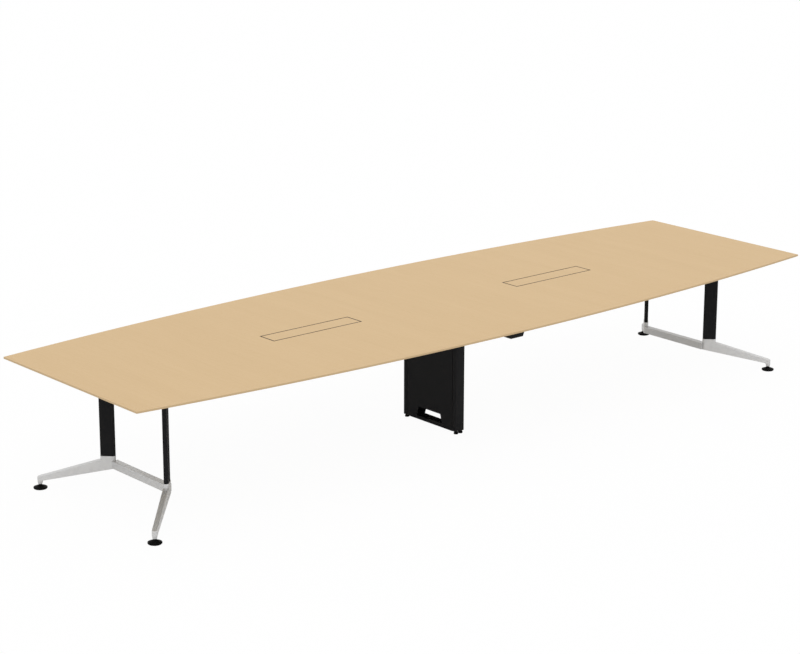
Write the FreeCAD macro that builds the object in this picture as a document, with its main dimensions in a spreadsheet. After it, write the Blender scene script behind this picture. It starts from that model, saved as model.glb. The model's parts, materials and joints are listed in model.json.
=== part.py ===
"""Boat-shaped conference table: two top halves on four cast feet and a centre cable leg.

Millimetres. X runs along the table, Y across it with the front at -Y, Z is up from the floor.
The right half of the table (+X) is drawn, and its twin is the same piece given a half turn.
"""
import FreeCAD, Part
import math
import os

import Sketcher
from FreeCAD import Placement, Rotation, Vector

SIZES = {
    # The top
    "top_length": 4800.0,
    "top_width_ends": 1200.0,
    "top_width_middle": 1500.0,
    "table_height": 720.0,
    "top_thickness": 30.0,
    "edge_height": 10.0,
    "bevel_run": 60.0,
    "dowel_diameter": 8.0,
    "dowel_length": 60.0,
    "dowel_spacing": 300.0,
    # The flush lids and the wiring boxes under them
    "lid_centre": 872.6,
    "lid_length": 588.6,
    "lid_width": 114.8,
    "lid_thickness": 14.0,
    "lid_gap": 2.5,
    "lid_back_radius": 1.0,
    "ledge_width": 12.0,
    "bumper_height": 1.5,
    "bumper_diameter": 8.0,
    "pivot_inset": 5.5,
    "pivot_pin_diameter": 3.0,
    "pivot_pin_grip": 14.0,
    "ear_width": 14.0,
    "ear_rim": 1.3,
    "box_wall": 1.6,
    "box_depth": 60.0,
    "box_setback": 1.0,
    "box_flange": 20.0,
    "cable_door_width": 80.0,
    "cable_door_height": 34.0,
    "cable_door_radius": 8.0,
    # The cable trays
    "tray_width": 100.0,
    "tray_depth": 38.0,
    "tray_top_below_beam": 3.0,
    "tray_wall": 1.2,
    "tray_tab_width": 30.0,
    "tray_tab_foot": 22.0,
    # Cross beams and rails under the top
    "beam_width": 90.0,
    "beam_flare": 13.0,
    "beam_depth": 33.4,
    "beam_wall": 3.0,
    "beam_lip": 18.0,
    "beam_corner": 4.0,
    "head_beam_setback": 180.0,
    "centre_beam_setback": 82.0,
    "cap_plug": 12.0,
    "rail_spacing": 400.0,
    "rail_width": 40.0,
    "rail_depth": 30.0,
    "rail_wall": 1.6,
    "rail_corner": 3.0,
    "stub_length": 60.0,
    "stub_wall": 2.5,
    # Columns and cast feet
    "column_end_setback": 392.0,
    "column_side_setback": 335.5,
    "column_width": 80.0,
    "column_thickness": 22.5,
    "column_wall": 2.5,
    "column_plate": 8.0,
    "column_bolt_spacing": 44.0,
    "collar_height": 190.0,
    "collar_margin": 0.6,
    "foot_run": 362.0,
    "arm_thickness": 28.0,
    "shoulder_height": 170.0,
    "heel_height": 123.0,
    "heel_run": 32.0,
    "arch_height": 107.0,
    "arch_run": 47.0,
    "toe_top": 70.0,
    "toe_under": 47.0,
    "toe_overhang": 21.0,
    "neck_height": 42.0,
    "neck_bottom": 27.0,
    "neck_half_width": 12.0,
    "arm_edge_round": 3.0,
    "casting_wall": 5.5,
    "casting_roof": 8.0,
    "hollow_start": 62.0,
    "rib_thickness": 6.0,
    # Low beams between the feet
    "low_beam_inset": 23.0,
    "low_beam_size": 40.0,
    "low_beam_wall": 2.5,
    "low_beam_corner": 3.0,
    "low_beam_centre": 144.4,
    "knuckle_reach": 30.6,
    "knuckle_length": 6.0,
    "spigot_length": 60.0,
    # Levelling glides under the feet
    "glide_diameter": 73.0,
    "glide_rim": 8.5,
    "glide_rim_chamfer": 3.0,
    "glide_hub_diameter": 18.0,
    "glide_dome_rise": 8.0,
    "glide_hex": 17.0,
    "glide_hex_height": 6.0,
    "glide_hex_gap": 0.5,
    "glide_stem_diameter": 10.0,
    "glide_stem_reach": 31.0,
    "glide_pivot_diameter": 8.0,
    "glide_pivot_depth": 15.0,
    # The centre cable leg
    "leg_width": 444.0,
    "leg_depth": 64.0,
    "post_width": 27.0,
    "post_wall": 2.0,
    "post_bottom": 15.0,
    "post_floor": 8.0,
    "post_corner": 4.0,
    "post_toe_round": 4.0,
    "head_plate": 5.0,
    "base_top": 42.0,
    "base_wall": 2.0,
    "cover_wall": 1.5,
    "cover_lip": 13.0,
    "cover_gap": 4.5,
    "cover_seat_gap": 0.4,
    "slot_bottom": 34.0,
    "slot_top": 90.0,
    "slot_bottom_width": 216.0,
    "slot_top_width": 184.0,
    "entry_width": 130.0,
    "entry_height": 50.0,
    "levelling_spacing": 32.0,
    "levelling_diameter": 25.5,
    "levelling_chamfer": 1.5,
    "levelling_hex": 13.0,
    "levelling_hex_height": 4.0,
    "levelling_hex_gap": 0.5,
    "levelling_stem_diameter": 8.0,
    "levelling_stem_reach": 26.0,
    "levelling_pivot_diameter": 6.0,
    "levelling_pivot_depth": 6.0,
    # Bolts
    "big_bolt_diameter": 8.0,
    "big_bolt_head": 13.0,
    "big_bolt_head_height": 8.0,
    "big_bolt_key": 6.0,
    "big_bolt_grip": 8.0,
    "small_bolt_diameter": 6.0,
    "small_bolt_head": 10.5,
    "small_bolt_head_height": 3.3,
    "small_bolt_key": 4.0,
    "small_bolt_grip": 8.0,
    "bolt_clearance": 0.2,
    "wood_screw_diameter": 4.5,
    "wood_screw_head": 9.0,
    "wood_screw_head_height": 2.5,
    "wood_screw_length": 19.0,
    "wood_screw_spacing": 200.0,
    # Clearances shared by all pieces
    "slip_gap": 0.3,
    "running_gap": 0.05,
    "overrun": 2.0,
}

doc = FreeCAD.newDocument("conference_table")
sheet = doc.addObject("Spreadsheet::Sheet", "Sizes")


class Size:
    """A size: its value now, and the sum of sheet cells that works it out."""

    def __init__(self, value, words):
        self.value = value
        self.words = words

    def __add__(self, other):
        return Size(self.value + number(other), f"({self.words} + {words(other)})")

    def __sub__(self, other):
        return Size(self.value - number(other), f"({self.words} - {words(other)})")

    def __rsub__(self, other):
        return Size(number(other) - self.value, f"({words(other)} - {self.words})")

    def __mul__(self, other):
        return Size(self.value * number(other), f"({self.words} * {words(other)})")

    def __truediv__(self, other):
        return Size(self.value / number(other), f"({self.words} / {words(other)})")

    def __neg__(self):
        return Size(-self.value, f"(-{self.words})")

    __radd__ = __add__
    __rmul__ = __mul__


def number(item):
    """The value of a size, or of a plain number."""
    return item.value if isinstance(item, Size) else float(item)


def words(item):
    """The sum behind a size, or a plain number as text."""
    return item.words if isinstance(item, Size) else repr(float(item))


def root(item):
    """The square root of a size."""
    return Size(math.sqrt(item.value), f"sqrt({item.words})")


class Table:
    """The driving sizes, read back from the sheet by their names."""


def fill_sheet():
    """Write every driving size into the sheet and read it back by its alias."""
    for row, (name, value) in enumerate(SIZES.items(), start=1):
        sheet.set(f"A{row}", name)
        sheet.set(f"B{row}", str(value))
        sheet.setAlias(f"B{row}", name)
    doc.recompute()
    table = Table()
    for name in SIZES:
        setattr(table, name, Size(float(sheet.get(name)), f"Sizes.{name}"))
    return table


s = fill_sheet()
nodes = []

UPRIGHT = Rotation()
ALONG_X = Rotation(Vector(0, 1, 0), 90)
UPENDED = Rotation(Vector(1, 0, 0), 90)
HALF_TURN = Placement(Vector(), Rotation(Vector(0, 0, 1), 180))
DIAGONAL = math.sqrt(0.5)

# Heights and places that several pieces share
half_length = s.top_length / 2
column_x = half_length - s.column_end_setback
column_y = s.top_width_ends / 2 - s.column_side_setback
head_beam_length = s.top_width_ends - s.head_beam_setback * 2
centre_beam_length = s.top_width_middle - s.centre_beam_setback * 2
underside = s.table_height - s.top_thickness
edge_bottom = s.table_height - s.edge_height
beam_bottom = underside - s.beam_depth
web_top = beam_bottom + s.beam_wall
beam_top_half = s.beam_width / 2 + s.beam_flare
opening_length = s.lid_length + s.lid_gap * 2
opening_width = s.lid_width + s.lid_gap * 2
opening_inner = s.lid_centre - opening_length / 2
opening_outer = s.lid_centre + opening_length / 2
ledge_height = s.table_height - s.lid_thickness - s.bumper_height
pivot_y = s.lid_width / 2 - s.pivot_inset
pivot_height = s.table_height - s.pivot_inset
pivot_hole_radius = s.pivot_pin_diameter / 2 + s.running_gap
ear_top = pivot_height + pivot_hole_radius + s.ear_rim
box_inner = opening_inner - s.box_setback
box_outer = opening_outer + s.box_setback
box_front = -(opening_width / 2 - s.ledge_width + s.box_setback)
box_back = opening_width / 2 + s.box_setback
box_bottom = underside - s.box_depth
tray_top = beam_bottom - s.tray_top_below_beam
tray_bottom = tray_top - s.tray_depth
tray_start = s.leg_depth / 2 + s.slip_gap
tray_length = box_inner - s.box_wall - s.slip_gap - tray_start
rail_y = s.rail_spacing / 2
rail_start = beam_top_half
rail_end = column_x - beam_top_half
rail_bottom = underside - s.rail_depth
stub_gap = s.rail_wall + s.slip_gap
column_height = beam_bottom - s.collar_height
arm_top_slope = (s.shoulder_height - s.toe_top) / (s.foot_run - s.column_width / 2)
arm_under_slope = (s.arch_height - s.toe_under) / (s.foot_run - s.toe_overhang - s.arch_run)
low_beam_bottom = s.low_beam_centre - s.low_beam_size / 2
low_beam_end = column_y - s.knuckle_reach
glide_pad_top = s.neck_bottom - s.glide_hex_gap - s.glide_hex_height
head_plate_bottom = beam_bottom - s.head_plate
post_y = (s.leg_width - s.post_width) / 2
duct_half_width = s.leg_width / 2 - s.post_width
leg_face = s.leg_depth / 2
levelling_pad_top = s.post_bottom - s.levelling_hex_gap - s.levelling_hex_height


def bind(target, sums):
    """Drive an object's properties by sums of the sheet's sizes."""
    for property_name, item in sums.items():
        target.setExpression(property_name, words(item))


def place(target, at, rotation=UPRIGHT):
    """Put an object at a point whose three coordinates are sums of sizes."""
    target.Placement = Placement(Vector(*[number(value) for value in at]), rotation)
    bind(target, dict(zip(("Placement.Base.x", "Placement.Base.y", "Placement.Base.z"), at)))


def node(piece, label, turned=False):
    """Register a finished piece under the name of its file, given a half turn if it is a twin."""
    piece.Label = label
    if turned:
        piece.Placement = HALF_TURN.multiply(piece.Placement)
    nodes.append(piece)
    return piece


def new_body(name):
    """An empty body."""
    return doc.addObject("PartDesign::Body", name)


def box(body, name, corner, sides, cut=False, rotation=UPRIGHT):
    """Add a block to a body, or cut one from it, from its low corner and its three sides."""
    kind = "SubtractiveBox" if cut else "AdditiveBox"
    block = body.newObject(f"PartDesign::{kind}", name)
    bind(block, dict(zip(("Length", "Width", "Height"), sides)))
    place(block, corner, rotation)
    return block


def cylinder(body, name, base, radius, height, cut=False, rotation=UPRIGHT):
    """Add a round bar to a body, or bore one from it, from the centre of its base."""
    kind = "SubtractiveCylinder" if cut else "AdditiveCylinder"
    bar = body.newObject(f"PartDesign::{kind}", name)
    bind(bar, {"Radius": radius, "Height": height})
    place(bar, base, rotation)
    return bar


def sketch(body, plane, name, height=None):
    """A sketch on one of the body's own origin planes, lifted by a height along its normal."""
    drawing = body.newObject("Sketcher::SketchObject", name)
    support = next(item for item in body.Origin.OriginFeatures if item.Role == plane)
    drawing.AttachmentSupport = [(support, "")]
    drawing.MapMode = "FlatFace"
    if height is not None:
        drawing.setExpression("AttachmentOffset.Base.z", words(height))
    return drawing


def fix(drawing, kind, geometry, point, item):
    """Fix one coordinate of a sketch point, measured from the sketch's origin."""
    rule = Sketcher.Constraint(kind, -1, 1, geometry, point, number(item))
    index = drawing.addConstraint(rule)
    if isinstance(item, Size):
        drawing.setExpression(f"Constraints[{index}]", words(item))


def arc_between(start, end, centre_axis, centre_value, bulge):
    """The arc from one point to the next round a centre with one known coordinate."""
    (ax, ay), (bx, by) = start, end
    if centre_axis == "x":
        cx = centre_value
        cy = ((ax - cx) ** 2 - (bx - cx) ** 2 + ay ** 2 - by ** 2) / (2 * (ay - by))
    else:
        cy = centre_value
        cx = ((ay - cy) ** 2 - (by - cy) ** 2 + ax ** 2 - bx ** 2) / (2 * (ax - bx))
    angles = [math.atan2(y - cy, x - cx) for x, y in (start, end)]
    if not bulge:
        angles.reverse()
    radius = math.hypot(ax - cx, ay - cy)
    return Part.ArcOfCircle(Part.Circle(Vector(cx, cy, 0), Vector(0, 0, 1), radius), *angles)


def outline(drawing, corners, arcs=None):
    """Draw a closed outline, anticlockwise, with every corner fixed by sums of sizes.

    arcs maps the number of a side to the axis and place of its centre and whether it bulges out.
    """
    arcs = arcs or {}
    points = [(number(x), number(y)) for x, y in corners]
    count = len(points)
    first, sides = drawing.GeometryCount, []
    for index, start in enumerate(points):
        end = points[(index + 1) % count]
        if index in arcs:
            axis, centre, bulge = arcs[index]
            sides.append((arc_between(start, end, axis, number(centre), bulge), bulge))
        else:
            sides.append((Part.LineSegment(Vector(*start, 0), Vector(*end, 0)), True))
    for curve, _ in sides:
        drawing.addGeometry(curve)
    for index, (_, forward) in enumerate(sides):
        after = (index + 1) % count
        leaving, arriving = (2 if forward else 1), (1 if sides[after][1] else 2)
        join = Sketcher.Constraint("Coincident", first + index, leaving, first + after, arriving)
        drawing.addConstraint(join)
    for index, (x, y) in enumerate(corners):
        start = 1 if sides[index][1] else 2
        fix(drawing, "DistanceX", first + index, start, x)
        fix(drawing, "DistanceY", first + index, start, y)
    for index, (axis, centre, _) in arcs.items():
        fix(drawing, "DistanceX" if axis == "x" else "DistanceY", first + index, 3, centre)
    return drawing


def stadium(drawing, length, thickness):
    """A flat oval centred on the sketch's origin, with its long axis along the sketch's x."""
    flat, radius = (length - thickness) / 2, thickness / 2
    corners = [(-flat, -radius), (flat, -radius), (flat, radius), (-flat, radius)]
    return outline(drawing, corners, {1: ("x", flat, True), 3: ("x", -flat, True)})


def rectangle(drawing, low, high):
    """A rectangle between two corners."""
    corners = [(low[0], low[1]), (high[0], low[1]), (high[0], high[1]), (low[0], high[1])]
    return outline(drawing, corners)


def pad(body, drawing, name, length, midplane=False):
    """Raise a sketch into a solid."""
    feature = body.newObject("PartDesign::Pad", name)
    feature.Profile = drawing
    feature.setExpression("Length", words(length))
    feature.Midplane = midplane
    return feature


def pocket_through(body, drawing, name):
    """Cut a sketch through the whole body, both ways."""
    feature = body.newObject("PartDesign::Pocket", name)
    feature.Profile = drawing
    feature.Type = "ThroughAll"
    feature.Midplane = True
    return feature


def loft(body, first, last, name, cut=False):
    """Join or cut the straight-sided solid between two sketches."""
    kind = "SubtractiveLoft" if cut else "AdditiveLoft"
    feature = body.newObject(f"PartDesign::{kind}", name)
    feature.Profile = first
    feature.Sections = [last]
    feature.Ruled = True
    return feature


def turned_profile(body, drawing, name):
    """Spin a half profile about the body's upright axis."""
    feature = body.newObject("PartDesign::Revolution", name)
    feature.Profile = drawing
    feature.ReferenceAxis = (drawing, ["V_Axis"])
    feature.Angle = 360
    return feature


def round_edges(body, name, radius, test):
    """Round every edge of the body so far that passes a test on its box."""
    doc.recompute()
    base = body.Tip
    names = [f"Edge{index}" for index, edge in enumerate(base.Shape.Edges, start=1)
             if test(edge.BoundBox)]
    feature = body.newObject("PartDesign::Fillet", name)
    feature.Base = (base, names)
    feature.setExpression("Radius", words(radius))
    return feature


def runs_along(axis):
    """A test for edges that run along one axis only."""
    def test(bounds):
        lengths = {"x": bounds.XLength, "y": bounds.YLength, "z": bounds.ZLength}
        along = lengths.pop(axis)
        return along > 1e-3 and max(lengths.values()) < 1e-3
    return test


def at_height(test, height):
    """Narrow a test to edges that lie at one height."""
    return lambda bounds: test(bounds) and abs(bounds.Center.z - number(height)) < 1e-3


# The top: two halves that butt at the middle, pinned by dowels
def top_half(label, turned):
    """Half of the boat-shaped top, bevelled underneath and cut out for its lid."""
    body = new_body(label)
    half_end, half_middle = s.top_width_ends / 2, s.top_width_middle / 2
    sag = half_middle - half_end
    arc_drop = (half_length * half_length + sag * sag) / (sag * 2) - sag
    slope = half_length / arc_drop
    rim = [(0, -half_middle), (half_length, -half_end), (half_length, half_end), (0, half_middle)]
    sides = {0: ("x", 0, True), 2: ("x", 0, True)}
    edge = outline(sketch(body, "XY_Plane", f"{label}_edge_plan", edge_bottom), rim, sides)
    pad(body, edge, f"{label}_edge", s.edge_height)
    inset_end = half_end + s.bevel_run * slope - s.bevel_run * root(1 + slope * slope)
    inset_x, inset_middle = half_length - s.bevel_run, half_middle - s.bevel_run
    lower = [(0, -inset_middle), (inset_x, -inset_end), (inset_x, inset_end), (0, inset_middle)]
    above = outline(sketch(body, "XY_Plane", f"{label}_bevel_top", edge_bottom), rim, sides)
    below = outline(sketch(body, "XY_Plane", f"{label}_bevel_foot", underside), lower, sides)
    loft(body, above, below, f"{label}_bevel")
    box(body, f"{label}_lid_seat",
        (opening_inner, -opening_width / 2, ledge_height),
        (opening_length, opening_width, s.lid_thickness + s.bumper_height + s.overrun), cut=True)
    box(body, f"{label}_box_mouth",
        (opening_inner, s.ledge_width - opening_width / 2, underside - s.overrun),
        (opening_length, opening_width - s.ledge_width, s.top_thickness), cut=True)
    depth = s.box_setback + s.box_wall + s.slip_gap
    for end, start in (("inner", opening_inner - depth), ("outer", opening_outer)):
        box(body, f"{label}_{end}_ear_pocket",
            (start, pivot_y - s.ear_width / 2 - s.slip_gap, underside - s.overrun),
            (depth, s.ear_width + s.slip_gap * 2, ear_top + s.slip_gap - underside + s.overrun),
            cut=True)
    for index, step_share in enumerate((-1.5, -0.5, 0.5, 1.5)):
        cylinder(body, f"{label}_dowel_hole_{index}",
                 (-s.overrun, s.dowel_spacing * step_share, underside + s.top_thickness / 2),
                 s.dowel_diameter / 2 + s.slip_gap / 2,
                 s.dowel_length / 2 + s.slip_gap + s.overrun, cut=True, rotation=ALONG_X)
    beam_places, wiring_places = half_screw_places()
    screw_holes(body, label, beam_places + wiring_places, underside - s.overrun,
                s.wood_screw_length + s.overrun,
                s.wood_screw_diameter / 2 + s.bolt_clearance / 2)
    return node(body, label, turned)


def beam_screw_places(shares):
    """Where wood screws pass the two lips of a cross beam, from the beam's own centre line."""
    reach = beam_top_half - s.beam_lip * LIP_SCREW_SHARE
    return [(across * reach, s.wood_screw_spacing * step_share)
            for across in (-1, 1) for step_share in shares]


def box_screw_places():
    """Where wood screws pass the flange of the right-hand wiring box."""
    reach = s.box_wall + s.box_flange / 2
    return [(box_inner + (box_outer - box_inner) * share, y)
            for share in (0.05, 0.5, 0.95) for y in (box_front - reach, box_back + reach)]


def tray_screw_places():
    """Where wood screws pass the feet of the right-hand cable tray."""
    edge = s.tray_width / 2 + s.tray_tab_foot / 2
    return [(tray_start + tray_length * share, edge * side)
            for share in (0.2, 0.8) for side in (-1, 1)]


SCREW_FLATS, BOLT_FLATS, KEY_FLATS = 8, 12, 6
LIP_SCREW_SHARE, KEY_DEPTH_SHARE = 0.6, 0.6
HEAD_SCREW_SHARES = (-1.5, -0.5, 0.5, 1.5)
CENTRE_SCREW_SHARES = (-2.5, -1.5, -0.5, 0.5, 1.5, 2.5)


def half_screw_places():
    """Every wood screw that enters the right-hand half of the top, beams first."""
    head = [(column_x + x, y) for x, y in beam_screw_places(HEAD_SCREW_SHARES)]
    centre = [(x, y) for x, y in beam_screw_places(CENTRE_SCREW_SHARES) if number(x) > 0]
    return head + centre, box_screw_places() + tray_screw_places()


def screw_holes(body, label, places, bottom, height, radius):
    """Cut one hole with flats, as its screw has, for each wood screw."""
    for index, (x, y) in enumerate(places):
        hole = body.newObject("PartDesign::SubtractivePrism", f"{label}_screw_hole_{index}")
        hole.Polygon = SCREW_FLATS
        bind(hole, {"Circumradius": radius, "Height": height})
        place(hole, (x, y, bottom))


def bar_with_flats(name, radius, height, at, flats):
    """An upright bar with flats, from the centre of its base: a plain stand-in for a round one."""
    bar = doc.addObject("Part::Prism", name)
    bar.Polygon = flats
    bind(bar, {"Circumradius": radius, "Height": height})
    place(bar, at)
    return bar


def wood_screws(label, places_by_plate):
    """A node of wood screws, each with its head under a plate of known thickness."""
    screws = []
    for plate, places in places_by_plate:
        for x, y in places:
            for side in (-1, 1):
                name = f"{label}_{len(screws)}"
                seat = underside - plate
                head = bar_with_flats(f"{name}_head", s.wood_screw_head / 2,
                                      s.wood_screw_head_height,
                                      (x * side, y * side, seat - s.wood_screw_head_height),
                                      SCREW_FLATS)
                shank = bar_with_flats(f"{name}_shank", s.wood_screw_diameter / 2,
                                       s.wood_screw_length, (x * side, y * side, seat),
                                       SCREW_FLATS)
                screw = doc.addObject("Part::Fuse", name)
                screw.Base, screw.Tool = head, shank
                screws.append(screw)
    return group(label, screws)


def dowels():
    """The wooden dowels across the seam."""
    pins = []
    for index, step_share in enumerate((-1.5, -0.5, 0.5, 1.5)):
        pin = doc.addObject("Part::Cylinder", f"dowel_{index}")
        bind(pin, {"Radius": s.dowel_diameter / 2, "Height": s.dowel_length})
        place(pin, (-s.dowel_length / 2, s.dowel_spacing * step_share,
                    underside + s.top_thickness / 2), ALONG_X)
        pins.append(pin)
    return group("top_dowels", pins)


def group(label, pieces, turned=False):
    """One node that holds several identical pieces as separate solids."""
    together = doc.addObject("Part::Compound", label)
    together.Links = pieces
    return node(together, label, turned)


# The lids, their pivots and the boxes they cover
def lid(label, turned):
    """A flush wooden lid, bored at both ends for its pivot pins."""
    body = new_body(label)
    inner, outer = s.lid_centre - s.lid_length / 2, s.lid_centre + s.lid_length / 2
    box(body, f"{label}_panel", (inner, -s.lid_width / 2, s.table_height - s.lid_thickness),
        (s.lid_length, s.lid_width, s.lid_thickness))
    back = number(s.lid_width / 2)
    along = runs_along("x")
    round_edges(body, f"{label}_back_edge", s.lid_back_radius,
                lambda bounds: at_height(along, s.table_height)(bounds)
                and abs(bounds.Center.y - back) < 1e-3)
    for end, start in (("inner", inner - s.overrun), ("outer", outer - s.pivot_pin_grip)):
        cylinder(body, f"{label}_{end}_pin_hole", (start, pivot_y, pivot_height),
                 s.pivot_pin_diameter / 2, s.pivot_pin_grip + s.overrun, cut=True,
                 rotation=ALONG_X)
    return node(body, label, turned)


def lid_pins(label, turned):
    """The two steel pins on which a lid turns."""
    length = s.pivot_pin_grip + s.lid_gap + s.box_setback + s.box_wall
    inner = s.lid_centre - s.lid_length / 2 + s.pivot_pin_grip - length
    outer = s.lid_centre + s.lid_length / 2 - s.pivot_pin_grip
    pins = []
    for end, start in (("inner", inner), ("outer", outer)):
        pin = doc.addObject("Part::Cylinder", f"{label}_{end}")
        bind(pin, {"Radius": s.pivot_pin_diameter / 2, "Height": length})
        place(pin, (start, pivot_y, pivot_height), ALONG_X)
        pins.append(pin)
    return group(label, pins, turned)


def lid_bumpers(label, turned):
    """Soft discs on the ledge that carry the lid's free edge."""
    pads = []
    for index, share in enumerate((-0.45, -0.15, 0.15, 0.45)):
        disc = doc.addObject("Part::Cylinder", f"{label}_{index}")
        bind(disc, {"Radius": s.bumper_diameter / 2, "Height": s.bumper_height})
        place(disc, (s.lid_centre + s.lid_length * share,
                     (s.ledge_width - opening_width) / 2, ledge_height))
        pads.append(disc)
    return group(label, pads, turned)


def wiring_box(label, turned):
    """A folded steel box with a flange under the top and two ears that hold the lid's pins."""
    body = new_body(label)
    wall = s.box_wall
    length, width = box_outer - box_inner, box_back - box_front
    box(body, f"{label}_trough", (box_inner - wall, box_front - wall, box_bottom),
        (length + wall * 2, width + wall * 2, s.box_depth))
    box(body, f"{label}_flange",
        (box_inner - wall - s.box_flange, box_front - wall - s.box_flange, underside - wall),
        (length + (wall + s.box_flange) * 2, width + (wall + s.box_flange) * 2, wall))
    for end, start in (("inner", box_inner - wall), ("outer", box_outer)):
        box(body, f"{label}_{end}_ear", (start, pivot_y - s.ear_width / 2, underside - wall),
            (wall, s.ear_width, ear_top - underside + wall))
    box(body, f"{label}_inside", (box_inner, box_front, box_bottom + wall),
        (length, width, s.box_depth + s.overrun), cut=True)
    for end, start in (("inner", box_inner - wall), ("outer", box_outer)):
        cylinder(body, f"{label}_{end}_pin_bore", (start - s.overrun, pivot_y, pivot_height),
                 pivot_hole_radius, wall + s.overrun * 2, cut=True, rotation=ALONG_X)
    door_start = box_inner - wall - s.overrun
    drawing = sketch(body, "YZ_Plane", f"{label}_cable_door_plan", door_start)
    low = (-s.cable_door_width / 2 + s.ledge_width / 2, box_bottom + s.cable_door_radius)
    high = (low[0] + s.cable_door_width, low[1] + s.cable_door_height)
    rounded_rectangle(drawing, low, high, s.cable_door_radius)
    door = body.newObject("PartDesign::Pocket", f"{label}_cable_door")
    door.Profile = drawing
    door.Reversed = True
    door.setExpression("Length", words(wall + s.overrun * 2))
    screw_holes(body, label, box_screw_places(), underside - wall - s.overrun,
                wall + s.overrun * 2, s.wood_screw_diameter / 2 + s.bolt_clearance)
    return node(body, label, turned)


def rounded_rectangle(drawing, low, high, radius):
    """A rectangle with quarter-round corners."""
    (x0, y0), (x1, y1) = low, high
    corners = [(x0 + radius, y0), (x1 - radius, y0), (x1, y0 + radius), (x1, y1 - radius),
               (x1 - radius, y1), (x0 + radius, y1), (x0, y1 - radius), (x0, y0 + radius)]
    arcs = {1: ("x", x1 - radius, True), 3: ("x", x1 - radius, True),
            5: ("x", x0 + radius, True), 7: ("x", x0 + radius, True)}
    return outline(drawing, corners, arcs)


def cable_tray(label, turned):
    """An open trough from a wiring box to the centre leg, hung by four tabs."""
    body = new_body(label)
    wall = s.tray_wall
    half = s.tray_width / 2
    box(body, f"{label}_trough", (tray_start, -half, tray_bottom),
        (tray_length, s.tray_width, s.tray_depth))
    box(body, f"{label}_inside", (tray_start - s.overrun, wall - half, tray_bottom + wall),
        (tray_length + s.overrun * 2, s.tray_width - wall * 2, s.tray_depth), cut=True)
    for place_name, share in (("near", 0.2), ("far", 0.8)):
        tab_start = tray_start + tray_length * share - s.tray_tab_width / 2
        for side_name, edge, tab_foot in (("front", -half, wall - half - s.tray_tab_foot),
                                          ("back", half - wall, half - wall)):
            box(body, f"{label}_{place_name}_{side_name}_tab", (tab_start, edge, tray_top),
                (s.tray_tab_width, wall, underside - tray_top))
            box(body, f"{label}_{place_name}_{side_name}_foot",
                (tab_start, tab_foot, underside - wall), (s.tray_tab_width, s.tray_tab_foot, wall))
    screw_holes(body, label, tray_screw_places(), underside - wall - s.overrun,
                wall + s.overrun * 2, s.wood_screw_diameter / 2 + s.bolt_clearance)
    return node(body, label, turned)


# The steel under the top
def lipped_channel(body, name, centre, length):
    """A channel that opens upwards, with flared sides and lips turned in under the top."""
    drawing = sketch(body, "XZ_Plane", f"{name}_section")
    foot_half = s.beam_width / 2
    lip, below_lip = beam_top_half - s.beam_lip, underside - s.beam_wall
    drift = s.beam_flare * s.beam_wall / s.beam_depth
    half_section = [(foot_half, beam_bottom), (beam_top_half, underside), (lip, underside),
                    (lip, below_lip), (beam_top_half - drift - s.beam_wall, below_lip),
                    (foot_half + drift - s.beam_wall, web_top)]
    right = [(centre + x, z) for x, z in half_section]
    left = [(centre - x, z) for x, z in reversed(half_section)]
    outline(drawing, right + left)
    pad(body, drawing, f"{name}_channel", length, midplane=True)
    return round_edges(body, f"{name}_corners", s.beam_corner,
                       at_height(runs_along("y"), beam_bottom))


def rail_stub(body, name, centre, outward, y):
    """A short square tube let into a beam's flared side, which the end of a rail slips over."""
    foot_face = centre + s.beam_width / 2 * outward
    lip_face = centre + beam_top_half * outward
    width, depth = s.rail_width - stub_gap * 2, s.rail_depth - stub_gap * 2
    start = foot_face if outward > 0 else lip_face - s.stub_length
    box(body, f"{name}_tube", (start, y - width / 2, rail_bottom + stub_gap),
        (s.stub_length + s.beam_flare, width, depth))
    hollow = lip_face if outward > 0 else lip_face - s.stub_length - s.overrun
    box(body, f"{name}_hollow", (hollow, y - width / 2 + s.stub_wall,
                                 rail_bottom + stub_gap + s.stub_wall),
        (s.stub_length + s.overrun, width - s.stub_wall * 2, depth - s.stub_wall * 2), cut=True)
    cylinder(body, f"{name}_bolt_hole", (lip_face + s.stub_length / 2 * outward, y, rail_bottom),
             s.small_bolt_diameter / 2 + s.bolt_clearance, stub_gap + s.stub_wall + s.overrun,
             cut=True)


def head_beam(label, turned):
    """The cross beam on top of an end frame's two columns."""
    body = new_body(label)
    lipped_channel(body, label, column_x, head_beam_length)
    for side_name, side in (("front", -1), ("back", 1)):
        rail_stub(body, f"{label}_{side_name}_stub", column_x, -1, rail_y * side)
        for bolt, (x, y) in column_bolt_places(side).items():
            cylinder(body, f"{label}_{side_name}_{bolt}_hole", (x, y, beam_bottom - s.overrun),
                     s.big_bolt_diameter / 2 + s.bolt_clearance, s.beam_wall + s.overrun * 2,
                     cut=True)
    places = [(column_x + x, y) for x, y in beam_screw_places(HEAD_SCREW_SHARES)]
    lip_screw_holes(body, label, places)
    return node(body, label, turned)


def lip_screw_holes(body, label, places):
    """Drill a beam's lips for wood screws."""
    screw_holes(body, label, places, underside - s.beam_wall - s.overrun,
                s.beam_wall + s.overrun * 2, s.wood_screw_diameter / 2 + s.bolt_clearance)


def column_bolt_places(side):
    """Where the two bolts of a right-hand column stand, seen from above."""
    reach = s.column_bolt_spacing / 2 * DIAGONAL
    axis_y = column_y * side
    return {"outer": (column_x + reach, axis_y + reach * side),
            "inner": (column_x - reach, axis_y - reach * side)}


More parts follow.
